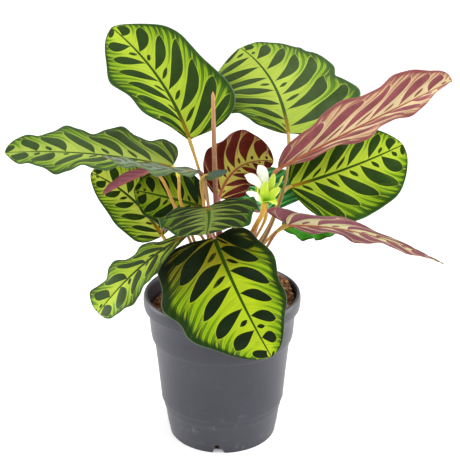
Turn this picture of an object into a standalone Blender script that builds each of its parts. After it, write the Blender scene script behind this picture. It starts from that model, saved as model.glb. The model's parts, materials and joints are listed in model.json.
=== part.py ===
"""A potted calathea: a round nursery pot, its plug of soil, and a plant of seventeen leaves with one flower.

Lengths in the tables are millimetres and angles are degrees. The origin is the centre of the underside of the
pot, and -Y is the side from which most leaves show their upper face.
"""

import math
from typing import NamedTuple

import bmesh
import bpy
import numpy as np

MM = 0.001

# Pot, from the outer edge of the foot up to the rim, as (radius, height).
POT_OUTSIDE = (
    (41.9, 0.0), (43.2, 8.0), (45.2, 21.5), (46.2, 23.0), (47.3, 27.5), (50.0, 55.5), (52.3, 79.5),
    (54.3, 81.5), (54.9, 85.5), (55.6, 94.5), (56.3, 104.5), (58.9, 105.5), (59.8, 108.0), (60.0, 112.0),
    (59.6, 115.5), (58.6, 117.0),
)
POT_WALL = 1.4
POT_RIM_INSIDE = ((57.2, 117.0), (56.5, 115.8), (55.6, 107.5), (54.9, 104.5))
POT_FLOOR_TOP = 4.0
POT_FLOOR_UNDER = 2.4
POT_FOOT_RING = 2.6
POT_PAD_RADIUS = 9.0
POT_STEPS = 44

DRAIN_NOTCHES = 4
DRAIN_NOTCH_WIDTH = 8.0
DRAIN_NOTCH_HEIGHT = 3.4
DRAIN_HOLE_RADIUS = 1.8
DRAIN_HOLE_HEIGHT = 6.0
DRAIN_HOLE_ASIDE = 0.8
DRAIN_TURN = 4.0

# Soil, which fills the pot to a little below its rim.
SOIL_GAP = 0.35
SOIL_EDGE_TOP = 107.0
SOIL_TOP = 109.5
SOIL_STEPS = 40
SOIL_RINGS = (50.5, 45.0, 39.0, 33.0, 27.0, 21.0)
SOIL_BUMP = 0.9
SOIL_LEAN = 0.06
CROWN_RECESS_RADIUS = 17.3
CROWN_RECESS_FLOOR = 105.5

# Crown, the low root stock that the stalks grow from.
CROWN_PROFILE = (
    (0.0, 105.8), (16.2, 105.8), (17.0, 106.7), (17.0, 109.1), (16.2, 110.7), (14.6, 111.5), (0.0, 111.5),
)
CROWN_STEPS = 32
FOOT_HEIGHT = 111.8
FOOT_UPRIGHT = 3.0

LEAF_ROWS = 12
LEAF_COLUMNS = 7
LEAF_THICKNESS = 0.6
STALK_POINTS = 10
STALK_SIDES = 8
STALK_GAP = 0.65
BASE_WIDTH = 2.4


class Finish(NamedTuple):
    """Colour in sRGB 0 to 1, roughness and metallic of a material."""

    name: str
    colour: tuple[float, float, float]
    roughness: float
    metallic: float = 0.0


POT_PLASTIC = Finish("pot_plastic", (0.34, 0.34, 0.36), 0.45)
SOIL = Finish("soil", (0.27, 0.18, 0.12), 0.95)
CROWN = Finish("crown", (0.35, 0.25, 0.15), 0.8)
LEAF_GREEN = Finish("leaf_green", (0.45, 0.62, 0.16), 0.42)
LEAF_DARK = Finish("leaf_dark", (0.16, 0.32, 0.15), 0.42)
LEAF_MAUVE = Finish("leaf_mauve", (0.55, 0.33, 0.33), 0.5)
STALK_TAN = Finish("stalk_tan", (0.66, 0.46, 0.27), 0.5)
SPEAR_PINK = Finish("spear_pink", (0.70, 0.54, 0.44), 0.5)
BRACT_GREEN = Finish("bract_green", (0.66, 0.82, 0.25), 0.5)
PETAL_WHITE = Finish("petal_white", (0.95, 0.93, 0.88), 0.55)


class Blade(NamedTuple):
    """Leaf blade: three points along its midrib from base to tip, the way its upper face looks, and its form.

    Pairs give the left and the right half, seen from above with the tip ahead. half is the greatest
    half-width, widest its place from base (0) to tip (1), fold the lift of each half from the midrib,
    lobe how far the base reaches back past the stalk. wave is (height, waves, start), and frill tells how the
    outline swells and narrows, as (share of the width, waves, start).
    """

    route: tuple
    face: tuple[float, float, float]
    half: tuple[float, float]
    fold: tuple[float, float] = (8.0, 8.0)
    widest: tuple[float, float] = (0.45, 0.45)
    blunt: tuple[float, float] = (0.62, 0.62)
    lobe: tuple[float, float] = (0.0, 0.0)
    wave: tuple[float, float, float] = (2.0, 3.0, 0.0)
    curl: float = -20.0
    flatten: float = 0.0
    end_face: tuple | None = None
    finish: Finish = LEAF_GREEN
    frill: tuple = ((0.03, 2.6, 0.1), (0.03, 2.2, 0.55))


BLADES = {
    "upper_left": Blade(
        ((-24, 14, 232), (-45, 22, 274), (-80, 34, 310)), (0.1, -0.95, 0.3), (28, 40), (15, 13),
        widest=(0.64, 0.26), blunt=(0.62, 0.75), wave=(2.5, 3, 0),
        frill=((0.06, 2.5, -0.5), (0.07, 1.8, -0.05)),
    ),
    "upper_right": Blade(
        ((49, 18, 235), (41, 34, 263), (14, 66, 290)), (0.1, -0.8, 0.6), (49, 64), (2, -4),
        widest=(0.72, 0.2), blunt=(0.32, 0.72), lobe=(3, 12), wave=(5, 3.5, 0),
        frill=((0.04, 1.0, -0.6), (0.05, 2.6, 0.3)),
    ),
    "far_right": Blade(
        ((41, -18, 219), (82, -22, 243), (160, -10, 280)), (-0.35, 0.75, 0.55), (26, 28), (22, 22),
        widest=(0.6, 0.56), blunt=(0.58, 0.62), wave=(2.5, 3, 0), finish=LEAF_MAUVE,
    ),
    "right": Blade(
        ((53, 40, 187), (99, 54, 198), (144, 72, 212)), (-0.1, -0.8, 0.6), (32, 42), wave=(2, 3, 0.2),
    ),
    "back": Blade(((34, 30, 170), (30, 57, 182), (26, 84, 190)), (0, -0.4, 0.9), (32, 36)),
    "lower_right": Blade(
        ((48, -12, 174), (93, -20, 173), (160, -30, 151)), (0.25, 0.55, 0.8), (22, 30), (15, 15),
        widest=(0.33, 0.16), blunt=(0.95, 2.4), lobe=(4, 28), flatten=1.0, finish=LEAF_MAUVE,
    ),
    "back_right": Blade(
        ((47, 25, 158), (67, 38, 155), (92, 50, 148)), (0, -0.6, 0.8), (10, 12), (5, 5), finish=LEAF_DARK,
    ),
    "centre": Blade(
        ((-2, 11, 187), (12, 14, 210), (38, 8, 217)), (-0.3, 0.9, 0.3), (26, 33), (20, 5),
        widest=(0.36, 0.6), finish=LEAF_MAUVE,
    ),
    "far_left": Blade(
        ((-37, 22, 208), (-95, 15, 220), (-158, 5, 224)), (0.05, -0.2, 0.97), (32, 29), (12, 22),
        widest=(0.7, 0.33), blunt=(0.75, 0.5), lobe=(0, 9), wave=(3.5, 3.5, 0), curl=-16,
    ),
    "left": Blade(
        ((-47, 33, 149), (-75, 48, 178), (-104, 58, 193)), (-0.2, -0.8, 0.5), (23, 26), (5, 5),
        widest=(0.36, 0.45),
    ),
    "inner_left": Blade(
        ((-14, 22, 176), (-41, 25, 183), (-67, 25, 189)), (0.1, -0.85, 0.5), (22, 24), (5, 5),
        finish=LEAF_DARK,
    ),
    "inner_front": Blade(
        ((-10, -25, 192), (-8, -60, 197), (-9, -98, 199)), (-0.12, 0.12, 0.98), (33, 34), (20, 10),
        flatten=1.0, curl=-12, wave=(3, 3, 0), finish=LEAF_DARK,
    ),
    "front": Blade(
        ((-5, -38, 174), (10, -68, 148), (35, -70, 97)), (0, -0.8, 0.6), (33, 52), (0, -4),
        widest=(0.37, 0.34), lobe=(16, 16), curl=-25, end_face=(0, -0.97, 0.25),
        frill=((0.05, 3.0, 0.2), (0.05, 3.4, 0.0)),
    ),
    "lower_left": Blade(
        ((-23, -24, 172), (-53, -45, 158), (-86, -62, 127)), (-0.2, -0.5, 0.85), (20, 16), (20, 15),
        widest=(0.75, 0.72), blunt=(0.5, 0.5), wave=(3, 3.5, 0),
        frill=((0.10, 3.6, 0.4), (0.08, 3.2, 0.2)),
    ),
    "side_left": Blade(
        ((-17, -12, 215), (-50, -23, 222), (-83, -28, 231)), (0, 0.05, 0.99), (14, 14), (5, 5),
        finish=LEAF_DARK,
    ),
    "young_left": Blade(
        ((-53, 8, 209), (-71, 6, 201), (-88, 4, 192)), (0.3, 0.6, 0.7), (8, 8), (50, 50),
        wave=(0.3, 2, 0), finish=LEAF_MAUVE,
    ),
    "small": Blade(
        ((-11, -19, 214), (-4, -21, 216), (4, -23, 218)), (0, -0.1, 1), (8, 8), (5, 5),
        wave=(0.5, 2, 0), finish=LEAF_DARK,
    ),
}


class Stalk(NamedTuple):
    """Stalk of a leaf: where it stands on the crown, and points it passes on its way to the blade."""

    foot: tuple[float, float]
    via: tuple = ()
    finish: Finish = STALK_TAN


STALKS = {
    "upper_left": Stalk((-6.5, 3.5), ((-10, 2, 184), (-15, 6, 204))),
    "upper_right": Stalk((12.5, 2.0), ((38, 6, 170), (48, 11, 205))),
    "far_right": Stalk((13.0, -3.5), ((33, -7, 194),), SPEAR_PINK),
    "right": Stalk((9.0, 7.0), ((36, 14, 165),)),
    "back": Stalk((3.5, 12.5), ((20, 24, 140),)),
    "lower_right": Stalk((9.5, -8.5), ((32, -10, 154),)),
    "back_right": Stalk((8.5, 12.0), ((28, 19, 142),)),
    "centre": Stalk((2.0, 5.0)),
    "far_left": Stalk((-11.0, 3.5), ((-31, 8, 186),)),
    "left": Stalk((-12.0, 8.5)),
    "inner_left": Stalk((-2.5, 12.5)),
    "inner_front": Stalk((0.0, -9.0)),
    "front": Stalk((3.5, -13.5)),
    "lower_left": Stalk((-9.5, -10.0)),
    "side_left": Stalk((-6.5, -1.8), ((-11, -7, 199),)),
    "young_left": Stalk((-13.0, -1.5), ((-37, 0, 190),)),
    "small": Stalk((-4.5, -6.5), ((-13, -10.2, 190),)),
}
STALK_RADIUS = (1.9, 1.3, 1.1)

NEW_LEAF_STALK = ((2.0, -1.0), (-4.5, -6.0, 198.0), (-0.05, -0.05, 1.0))
NEW_LEAF_STALK_RADIUS = (2.1, 2.2, 2.3)
ROLLED_LEAF = ((-4.6, -6.1, 198.4), (-5.5, -7.0, 235.0), (-6.0, -8.0, 272.0))
ROLLED_LEAF_RADIUS = (2.0, 1.8, 1.2)

FLOWER_PLACE = (30.7, -24.5, 196.0)
FLOWER_STALK = ((7.3, -4.0), (22.0, -14.0, 168.0), (0.0, 0.0, 1.0))
FLOWER_STALK_RADIUS = (1.9, 1.9, 2.8)
# Routes of the bracts and petals are measured from the top of the flower stalk.
FLOWER_BLADES = {
    "bract_1": Blade(
        ((2.3, 0.9, 0.5), (8, 1.4, 8.5), (13, 1.8, 19)), (-0.8, 0, 0.5), (3.2, 3.2), (20, 20),
        wave=(0.4, 2, 0), finish=BRACT_GREEN,
    ),
    "bract_2": Blade(
        ((1.9, -1.8, 0.6), (4.4, -6.5, 2.8), (8, -9.5, 1.2)), (-0.2, 0.3, 0.9), (3, 3), (15, 15),
        wave=(0.3, 2, 0), finish=BRACT_GREEN,
    ),
    "bract_3": Blade(
        ((-2.4, -0.1, 1.0), (-7, -0.4, 4.8), (-10, -0.8, 9.8)), (0.6, 0.2, 0.8), (3, 3), (15, 15),
        wave=(0.4, 2, 0), finish=BRACT_GREEN,
    ),
    "bract_4": Blade(
        ((-0.6, 2.5, 1.0), (-1.4, 7.5, 9), (-2, 9, 19)), (0, -0.9, 0.3), (4, 4), (20, 20),
        wave=(0.4, 2, 0), finish=BRACT_GREEN,
    ),
    "petal_1": Blade(
        ((-0.6, -0.6, 0.5), (-2.8, -3.5, 12), (-14.5, -7, 22)), (-0.1, -0.8, 0.6), (3.6, 3.6), (12, 12),
        widest=(0.8, 0.8), blunt=(1.1, 1.1), wave=(0.5, 2, 0), finish=PETAL_WHITE,
    ),
    "petal_2": Blade(
        ((0.9, 1.0, 0.5), (0.5, 2, 14), (-5, 1, 28)), (0, -0.9, 0.4), (4.2, 4.2), (12, 12),
        widest=(0.8, 0.8), blunt=(1.1, 1.1), wave=(0.5, 2, 0), finish=PETAL_WHITE,
    ),
    "petal_3": Blade(
        ((-0.7, -2.4, 0.4), (-6, -8.5, 6.5), (-13.5, -9.5, 10.5)), (0.2, -0.7, 0.8), (2.4, 2.4), (15, 15),
        widest=(0.6, 0.6), wave=(0.3, 2, 0), finish=PETAL_WHITE,
    ),
}
FLOWER_THICKNESS = 0.6
FLOWER_ROWS = 8
FLOWER_COLUMNS = 5
FLOWER_BASE_WIDTH = 1.6


def clear_scene() -> None:
    """Removes every object that the scene starts with."""
    for obj in list(bpy.data.objects):
        bpy.data.objects.remove(obj, do_unlink=True)


def material(finish: Finish) -> bpy.types.Material:
    """Returns the material of a finish, made once."""
    found = bpy.data.materials.get(finish.name)
    if found:
        return found
    made = bpy.data.materials.new(finish.name)
    made.use_nodes = True
    shader = made.node_tree.nodes["Principled BSDF"]
    linear = [((c + 0.055) / 1.055) ** 2.4 for c in finish.colour]
    shader.inputs["Base Color"].default_value = (*linear, 1.0)
    shader.inputs["Roughness"].default_value = finish.roughness
    shader.inputs["Metallic"].default_value = finish.metallic
    made.diffuse_color = (*linear, 1.0)
    return made


def add_mesh(name: str, points, faces, finish: Finish, smooth: bool = True) -> bpy.types.Object:
    """Adds a mesh object from points in millimetres and faces as index rows."""
    mesh = bpy.data.meshes.new(name)
    mesh.from_pydata((np.asarray(points, float) * MM).tolist(), [], [tuple(face) for face in faces])
    mesh.validate()
    mesh.materials.append(material(finish))
    obj = bpy.data.objects.new(name, mesh)
    bpy.context.collection.objects.link(obj)
    if smooth:
        mesh.shade_smooth()
    return obj


def add_turned(name: str, profile, steps: int, finish: Finish) -> bpy.types.Object:
    """Turns an open profile of (radius, height) that starts and ends on the axis round Z."""
    points = [(radius, 0.0, height) for radius, height in profile]
    mesh = bpy.data.meshes.new(name)
    mesh.from_pydata((np.array(points) * MM).tolist(), [(i, i + 1) for i in range(len(points) - 1)], [])
    mesh.materials.append(material(finish))
    obj = bpy.data.objects.new(name, mesh)
    bpy.context.collection.objects.link(obj)
    screw = obj.modifiers.new("turn", "SCREW")
    screw.axis = "Z"
    screw.angle = math.tau
    screw.steps = steps
    screw.render_steps = steps
    screw.use_merge_vertices = True
    screw.merge_threshold = 0.00002
    screw.use_smooth_shade = True
    screw.use_normal_calculate = True
    return obj


def add_cutter(name: str, obj: bpy.types.Object) -> bpy.types.Object:
    """Marks an object as a cutter, so that it isn't a piece of the model."""
    obj.name = name
    obj.hide_render = True
    obj.display_type = "WIRE"
    return obj


def cut(obj: bpy.types.Object, cutter: bpy.types.Object) -> None:
    """Cuts a shape out of an object."""
    boolean = obj.modifiers.new("cut_" + cutter.name, "BOOLEAN")
    boolean.operation = "DIFFERENCE"
    boolean.solver = "EXACT"
    boolean.object = cutter


def unit(vectors):
    """Vectors scaled to length one."""
    return vectors / np.linalg.norm(vectors, axis=-1, keepdims=True)


def curve_through(points, places):
    """Positions and unit directions along the polynomial curve through the points, at places from 0 to 1."""
    points = np.asarray(points, float)
    steps = np.linalg.norm(np.diff(points, axis=0), axis=1)
    knots = np.concatenate([[0.0], np.cumsum(steps)]) / steps.sum()
    terms = np.polyfit(knots, points, len(points) - 1)
    order = len(points) - 1
    position = sum(terms[i] * places[:, None] ** (order - i) for i in range(order + 1))
    slope = sum((order - i) * terms[i] * places[:, None] ** (order - i - 1) for i in range(order))
    return position, unit(slope)


def pair(values, across):
    """The left value where across is negative, and the right value elsewhere."""
    return np.where(across < 0, values[0], values[1])


def blade_points(blade: Blade, rows: int, columns: int, base_width: float):
    """Grid of points over a blade, rows from base to tip and columns from its left margin to its right."""
    along = (1 - np.cos(np.pi * np.arange(rows) / (rows - 1))) / 2
    across = np.linspace(-1, 1, columns)
    middle, ahead = curve_through(blade.route, along)
    start = unit(np.array(blade.face, float))
    end = unit(np.array(blade.end_face or blade.face, float))
    face = start * (1 - along[:, None]) + end * along[:, None]
    face = unit(face - ahead * (face * ahead).sum(axis=1, keepdims=True))
    right = np.cross(ahead, face)
    s = along[:, None]
    out = np.abs(across)[None]
    # The outline: narrow at both ends, and widest where the table says.
    swell = s ** (math.log(0.5) / np.log(pair(blade.widest, across)))
    width = np.clip(1 - np.abs(2 * swell - 1) ** 2.2, 0, 1) ** pair(blade.blunt, across)
    share, swells, shift = (pair(values, across) for values in zip(*blade.frill))
    width = width * (1 + share * out * np.sin(math.tau * (swells * s + shift)))
    arc = out * (pair(blade.half, across) * width + base_width / 2)
    turn = math.radians(blade.curl) * out * width
    chord = arc * np.sinc(turn / math.tau)
    angle = np.radians(pair(blade.fold, across)) * (1 - blade.flatten * s) + turn / 2
    height, waves, phase = blade.wave
    ripple = np.sin(math.tau * (waves * s + phase + 0.35 * (across < 0)))
    sideways = np.sign(across) * chord * np.cos(angle)
    upward = chord * np.sin(angle) + height * out**2 * width * ripple
    backward = -pair(blade.lobe, across) * out**2 * width * (1 - s) ** 3
    return (
        middle[:, None]
        + right[:, None] * sideways[..., None]
        + face[:, None] * upward[..., None]
        + ahead[:, None] * backward[..., None]
    )


def add_blade(name: str, blade: Blade, rows: int, columns: int, thickness: float, base: float) -> None:
    """Adds a blade as a sheet that a Solidify modifier thickens."""
    grid = blade_points(blade, rows, columns, base)
    corner = np.arange(rows * columns).reshape(rows, columns)
    faces = np.stack([corner[:-1, :-1], corner[:-1, 1:], corner[1:, 1:], corner[1:, :-1]], axis=-1)
    obj = add_mesh(name, grid.reshape(-1, 3), faces.reshape(-1, 4), blade.finish)
    solidify = obj.modifiers.new("thickness", "SOLIDIFY")
    solidify.thickness = thickness * MM
    solidify.offset = 0.0


def add_stem(name: str, points, radii, finish: Finish) -> None:
    """Adds a stem as a bevelled curve through the points, with its ends filled."""
    curve = bpy.data.curves.new(name, "CURVE")
    curve.dimensions = "3D"
    curve.bevel_depth = MM
    curve.bevel_resolution = STALK_SIDES // 2 - 2
    curve.use_fill_caps = True
    line = curve.splines.new("POLY")
    line.points.add(len(points) - 1)
    for place, point, radius in zip(line.points, points, radii):
        place.co = (*(np.asarray(point) * MM), 1.0)
        place.radius = radius
    line.use_smooth = True
    curve.materials.append(material(finish))
    bpy.context.collection.objects.link(bpy.data.objects.new(name, curve))


def stem_points(start, via, end, end_direction, count: int):
    """Points of a stem that leaves its foot upright and reaches its end along the given direction."""
    foot = np.asarray(start, float)
    start = foot + (0.0, 0.0, FOOT_UPRIGHT)
    stops = [start, *(np.asarray(stop, float) for stop in via), np.asarray(end, float)]
    slopes = [np.array([0.0, 0.0, 1.0])]
    slopes += [unit(stops[i + 1] - stops[i - 1]) for i in range(1, len(stops) - 1)]
    slopes.append(unit(np.asarray(end_direction, float)))
    lengths = [np.linalg.norm(b - a) for a, b in zip(stops, stops[1:])]
    points = [foot, start]
    for i, length in enumerate(lengths):
        pieces = max(4, round(count * length / sum(lengths)))
        t = (np.arange(1, pieces + 1) / pieces)[:, None]
        a, b = stops[i], stops[i + 1]
        p = a + slopes[i] * length / 3
        q = b - slopes[i + 1] * length / 3
        points.extend((1 - t) ** 3 * a + 3 * (1 - t) ** 2 * t * p + 3 * (1 - t) * t**2 * q + t**3 * b)
    return np.array(points)


def add_leaf(name: str, blade: Blade, stalk: Stalk) -> None:
    """Adds a leaf: its blade, and the stalk that carries it."""
    add_blade("leaf_" + name, blade, LEAF_ROWS, LEAF_COLUMNS, LEAF_THICKNESS, BASE_WIDTH)
    base, ahead = curve_through(blade.route, np.array([0.0]))
    end = base[0] - ahead[0] * STALK_GAP
    foot = (*stalk.foot, FOOT_HEIGHT)
    points = stem_points(foot, stalk.via, end, ahead[0], STALK_POINTS)
    radii = np.interp(np.linspace(0, 1, len(points)), (0.0, 0.4, 1.0), STALK_RADIUS)
    add_stem("stalk_" + name, points, radii, stalk.finish)


def add_straight_stem(name: str, foot, end, direction, radii, finish: Finish, via=()) -> None:
    """Adds a stem from a foot on the crown to an end, which it reaches along the given direction."""
    points = stem_points((*foot, FOOT_HEIGHT), via, end, direction, STALK_POINTS)
    add_stem(name, points, np.interp(np.linspace(0, 1, len(points)), (0.0, 0.5, 1.0), radii), finish)


def add_flower() -> None:
    """Adds the flower: its stalk, four bracts and three petals."""
    foot, middle, direction = FLOWER_STALK
    add_straight_stem(
        "flower_stalk", foot, FLOWER_PLACE, direction, FLOWER_STALK_RADIUS, STALK_TAN, (middle,)
    )
    for name, blade in FLOWER_BLADES.items():
        route = tuple(tuple(np.add(point, FLOWER_PLACE)) for point in blade.route)
        placed = blade._replace(route=route)
        add_blade(name, placed, FLOWER_ROWS, FLOWER_COLUMNS, FLOWER_THICKNESS, FLOWER_BASE_WIDTH)


def add_pot() -> None:
    """Adds the pot with its drain notches and drain holes."""
    inside = [(radius - POT_WALL, height) for radius, height in POT_OUTSIDE[1:11]]
    profile = [
        (0.0, 0.0), (POT_PAD_RADIUS, 0.0), (POT_PAD_RADIUS, POT_FLOOR_UNDER),
        (42.2 - POT_FOOT_RING, POT_FLOOR_UNDER), (42.2 - POT_FOOT_RING, 0.0),
        *POT_OUTSIDE, *POT_RIM_INSIDE, *reversed(inside), (41.2, POT_FLOOR_TOP), (0.0, POT_FLOOR_TOP),
    ]
    pot = add_turned("pot", profile, POT_STEPS, POT_PLASTIC)
    for number in range(DRAIN_NOTCHES):
        angle = math.radians(270 - DRAIN_TURN + 360 / DRAIN_NOTCHES * number)
        bpy.ops.mesh.primitive_cube_add(size=1)
        notch = add_cutter(f"notch_{number + 1}", bpy.context.object)
        notch.scale = (9 * MM, DRAIN_NOTCH_WIDTH * MM, (DRAIN_NOTCH_HEIGHT + 1) * MM)
        notch.rotation_euler.z = angle
        middle = (DRAIN_NOTCH_HEIGHT - 1) / 2
        notch.location = (40.5 * MM * math.cos(angle), 40.5 * MM * math.sin(angle), middle * MM)
        cut(pot, notch)
        bpy.ops.mesh.primitive_cylinder_add(vertices=12, radius=DRAIN_HOLE_RADIUS * MM, depth=7 * MM)
        hole = add_cutter(f"hole_{number + 1}", bpy.context.object)
        hole.rotation_euler = (math.pi / 2, 0.0, angle + math.pi / 2)
        turned = angle - DRAIN_HOLE_ASIDE / 42
        hole.location = (
            42.5 * MM * math.cos(turned), 42.5 * MM * math.sin(turned), DRAIN_HOLE_HEIGHT * MM
        )
        cut(pot, hole)


def add_soil() -> None:
    """Adds the soil: a turned plug whose rings of top points rise and fall a little."""
    profile = [(0.0, POT_FLOOR_TOP + SOIL_GAP), (40.4, POT_FLOOR_TOP + SOIL_GAP)]
    wall = [(radius - POT_WALL - SOIL_GAP, height) for radius, height in POT_OUTSIDE[1:11]]
    profile += [(radius, height) for radius, height in wall]
    profile += [(54.3, 103.0), (53.6, 104.0)]
    top = [(radius, 0.0) for radius in SOIL_RINGS]
    recess = [(CROWN_RECESS_RADIUS, SOIL_TOP), (CROWN_RECESS_RADIUS, CROWN_RECESS_FLOOR), (0.0, CROWN_RECESS_FLOOR)]
    turns = np.arange(SOIL_STEPS) * math.tau / SOIL_STEPS
    points = []
    for radius, height in profile[1:]:
        points.append(np.stack([radius * np.cos(turns), radius * np.sin(turns), 0 * turns + height], axis=-1))
    for radius, _ in top:
        x, y = radius * np.cos(turns), radius * np.sin(turns)
        dome = SOIL_EDGE_TOP + (SOIL_TOP - SOIL_EDGE_TOP) * (1 - radius / 54)
        lumps = np.sin(0.23 * x + 0.11 * y) * np.cos(0.17 * y - 0.09 * x) + 0.5 * np.sin(0.45 * x - 0.38 * y)
        points.append(np.stack([x, y, dome + SOIL_LEAN * x + SOIL_BUMP * lumps], axis=-1))
    for radius, height in recess[:2]:
        points.append(np.stack([radius * np.cos(turns), radius * np.sin(turns), 0 * turns + height], axis=-1))
    rings = len(points)
    corner = np.arange(rings * SOIL_STEPS).reshape(rings, SOIL_STEPS)
    after = np.roll(corner, -1, axis=1)
    faces = np.stack([corner[:-1], after[:-1], after[1:], corner[1:]], axis=-1).reshape(-1, 4).tolist()
    faces.append(corner[0][::-1].tolist())
    faces.append(corner[-1].tolist())
    add_mesh("soil", np.concatenate(points), faces, SOIL)


def main() -> None:
    """Builds the plant in its pot."""
    clear_scene()
    add_pot()
    add_soil()
    add_turned("crown", CROWN_PROFILE, CROWN_STEPS, CROWN)
    for name, blade in BLADES.items():
        add_leaf(name, blade, STALKS[name])
    add_straight_stem("new_leaf_stalk", *NEW_LEAF_STALK, NEW_LEAF_STALK_RADIUS, SPEAR_PINK)
    places = np.linspace(0, 1, STALK_POINTS)
    points, _ = curve_through(ROLLED_LEAF, places)
    add_stem("rolled_leaf", points, np.interp(places, (0.0, 0.5, 1.0), ROLLED_LEAF_RADIUS), SPEAR_PINK)
    add_flower()


main()
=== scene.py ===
"""A potted calathea in a pale studio: its leaves, stalks, flower, pot and soil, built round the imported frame.

Lengths in the tables are millimetres and angles are degrees. The origin is the centre of the underside of the pot,
+Z is up and -Y is the front. Leaf blades, stalks and petals are parametric surfaces worked out as whole arrays.
"""

from __future__ import annotations

import json
import logging
import math
from dataclasses import dataclass, field
from enum import Enum
from typing import Any, NamedTuple

import bpy
import numpy as np
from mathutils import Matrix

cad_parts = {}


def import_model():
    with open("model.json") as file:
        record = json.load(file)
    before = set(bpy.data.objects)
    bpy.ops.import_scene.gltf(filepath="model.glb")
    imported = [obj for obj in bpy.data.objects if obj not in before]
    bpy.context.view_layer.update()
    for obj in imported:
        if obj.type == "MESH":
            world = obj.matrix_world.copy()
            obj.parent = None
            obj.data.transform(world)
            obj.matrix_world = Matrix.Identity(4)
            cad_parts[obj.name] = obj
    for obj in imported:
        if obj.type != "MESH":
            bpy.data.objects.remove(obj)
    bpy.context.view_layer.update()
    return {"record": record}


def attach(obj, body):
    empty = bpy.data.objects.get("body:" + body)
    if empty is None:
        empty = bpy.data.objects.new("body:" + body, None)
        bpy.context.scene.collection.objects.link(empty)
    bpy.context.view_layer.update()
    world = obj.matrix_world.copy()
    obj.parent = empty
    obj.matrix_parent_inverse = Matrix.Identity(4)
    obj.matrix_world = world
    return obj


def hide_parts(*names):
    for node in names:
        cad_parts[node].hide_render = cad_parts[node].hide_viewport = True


MM = 0.001
BODY = "root"
TAU = math.tau
CROWN_TOP = 108.5
HALF_SHIFT = 0.41
SEED_SHIFT = 7.3
Rgb = tuple[float, float, float]
Pair = tuple[float, float]
Point = tuple[float, float, float]

log = logging.getLogger("calathea")


def linear(colour: Rgb) -> Rgb:
    """Returns the linear values of a colour given in 0 to 255 sRGB steps."""
    shares = (channel / 255 for channel in colour)
    return tuple(s / 12.92 if s <= 0.04045 else ((s + 0.055) / 1.055) ** 2.4 for s in shares)


def unit(vectors: np.ndarray) -> np.ndarray:
    """Returns the vectors scaled to length one."""
    return vectors / np.linalg.norm(vectors, axis=-1, keepdims=True)


def smooth(values: np.ndarray, low: float, high: float) -> np.ndarray:
    """Returns 3t^2 - 2t^3, where t runs from 0 at low to 1 at high."""
    t = np.clip((values - low) / (high - low), 0.0, 1.0)
    return t * t * (3 - 2 * t)


class Sides(Enum):
    """Which face of a leaf a finish is for."""

    UPPER = "upper"
    UNDER = "under"


# Shader maths.


class Value:
    """A number socket of a shader, on which Python's operators add Math nodes."""

    def __init__(self, paint: Paint, socket: bpy.types.NodeSocket) -> None:
        """Wraps one output socket.

        Args:
            paint: the material being built.
            socket: the output that holds the number.
        """
        self.paint = paint
        self.socket = socket

    def math(self, operation: str, *others: Value | float, first: bool = True) -> Value:
        """Adds a Math node.

        Args:
            operation: Blender's name of the operation.
            others: the other operands.
            first: whether this value is the first operand, and not the second.

        Returns:
            The node's result.
        """
        values = [self, *others] if first else [*others, self]
        named = dict(enumerate(values))
        return self.paint.value("ShaderNodeMath", {"operation": operation}, named)

    def __add__(self, other: Value | float) -> Value:
        """Sum."""
        return self.math("ADD", other)

    __radd__ = __add__

    def __sub__(self, other: Value | float) -> Value:
        """Difference."""
        return self.math("SUBTRACT", other)

    def __rsub__(self, other: float) -> Value:
        """Difference from a number."""
        return self.math("SUBTRACT", other, first=False)

    def __mul__(self, other: Value | float) -> Value:
        """Product."""
        return self.math("MULTIPLY", other)

    __rmul__ = __mul__

    def __truediv__(self, other: Value | float) -> Value:
        """Quotient."""
        return self.math("DIVIDE", other)

    def __pow__(self, other: float) -> Value:
        """Power."""
        return self.math("POWER", other)

    def __abs__(self) -> Value:
        """Size without sign."""
        return self.math("ABSOLUTE")

    def fract(self) -> Value:
        """Part after the whole number."""
        return self.math("FRACT")

    def floor(self) -> Value:
        """Whole number below."""
        return self.math("FLOOR")

    def sine(self) -> Value:
        """Sine of the value in radians."""
        return self.math("SINE")

    def most(self, other: Value | float) -> Value:
        """Greater of two values."""
        return self.math("MAXIMUM", other)

    def least(self, other: Value | float) -> Value:
        """Lesser of two values."""
        return self.math("MINIMUM", other)

    def above(self, other: Value | float) -> Value:
        """One where this value is the greater, and else zero."""
        return self.math("GREATER_THAN", other)

    def ramp(self, low: float, high: float, start: float = 0.0, end: float = 1.0) -> Value:
        """Smooth step from start at low to end at high.

        Args:
            low: value at which the step starts.
            high: value at which it ends.
            start: result below low.
            end: result above high.

        Returns:
            The stepped value.
        """
        values = {0: self, 1: low, 2: high, 3: start, 4: end}
        return self.paint.value("ShaderNodeMapRange", {"interpolation_type": "SMOOTHSTEP"}, values)


Colour = Rgb | bpy.types.NodeSocket


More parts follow.
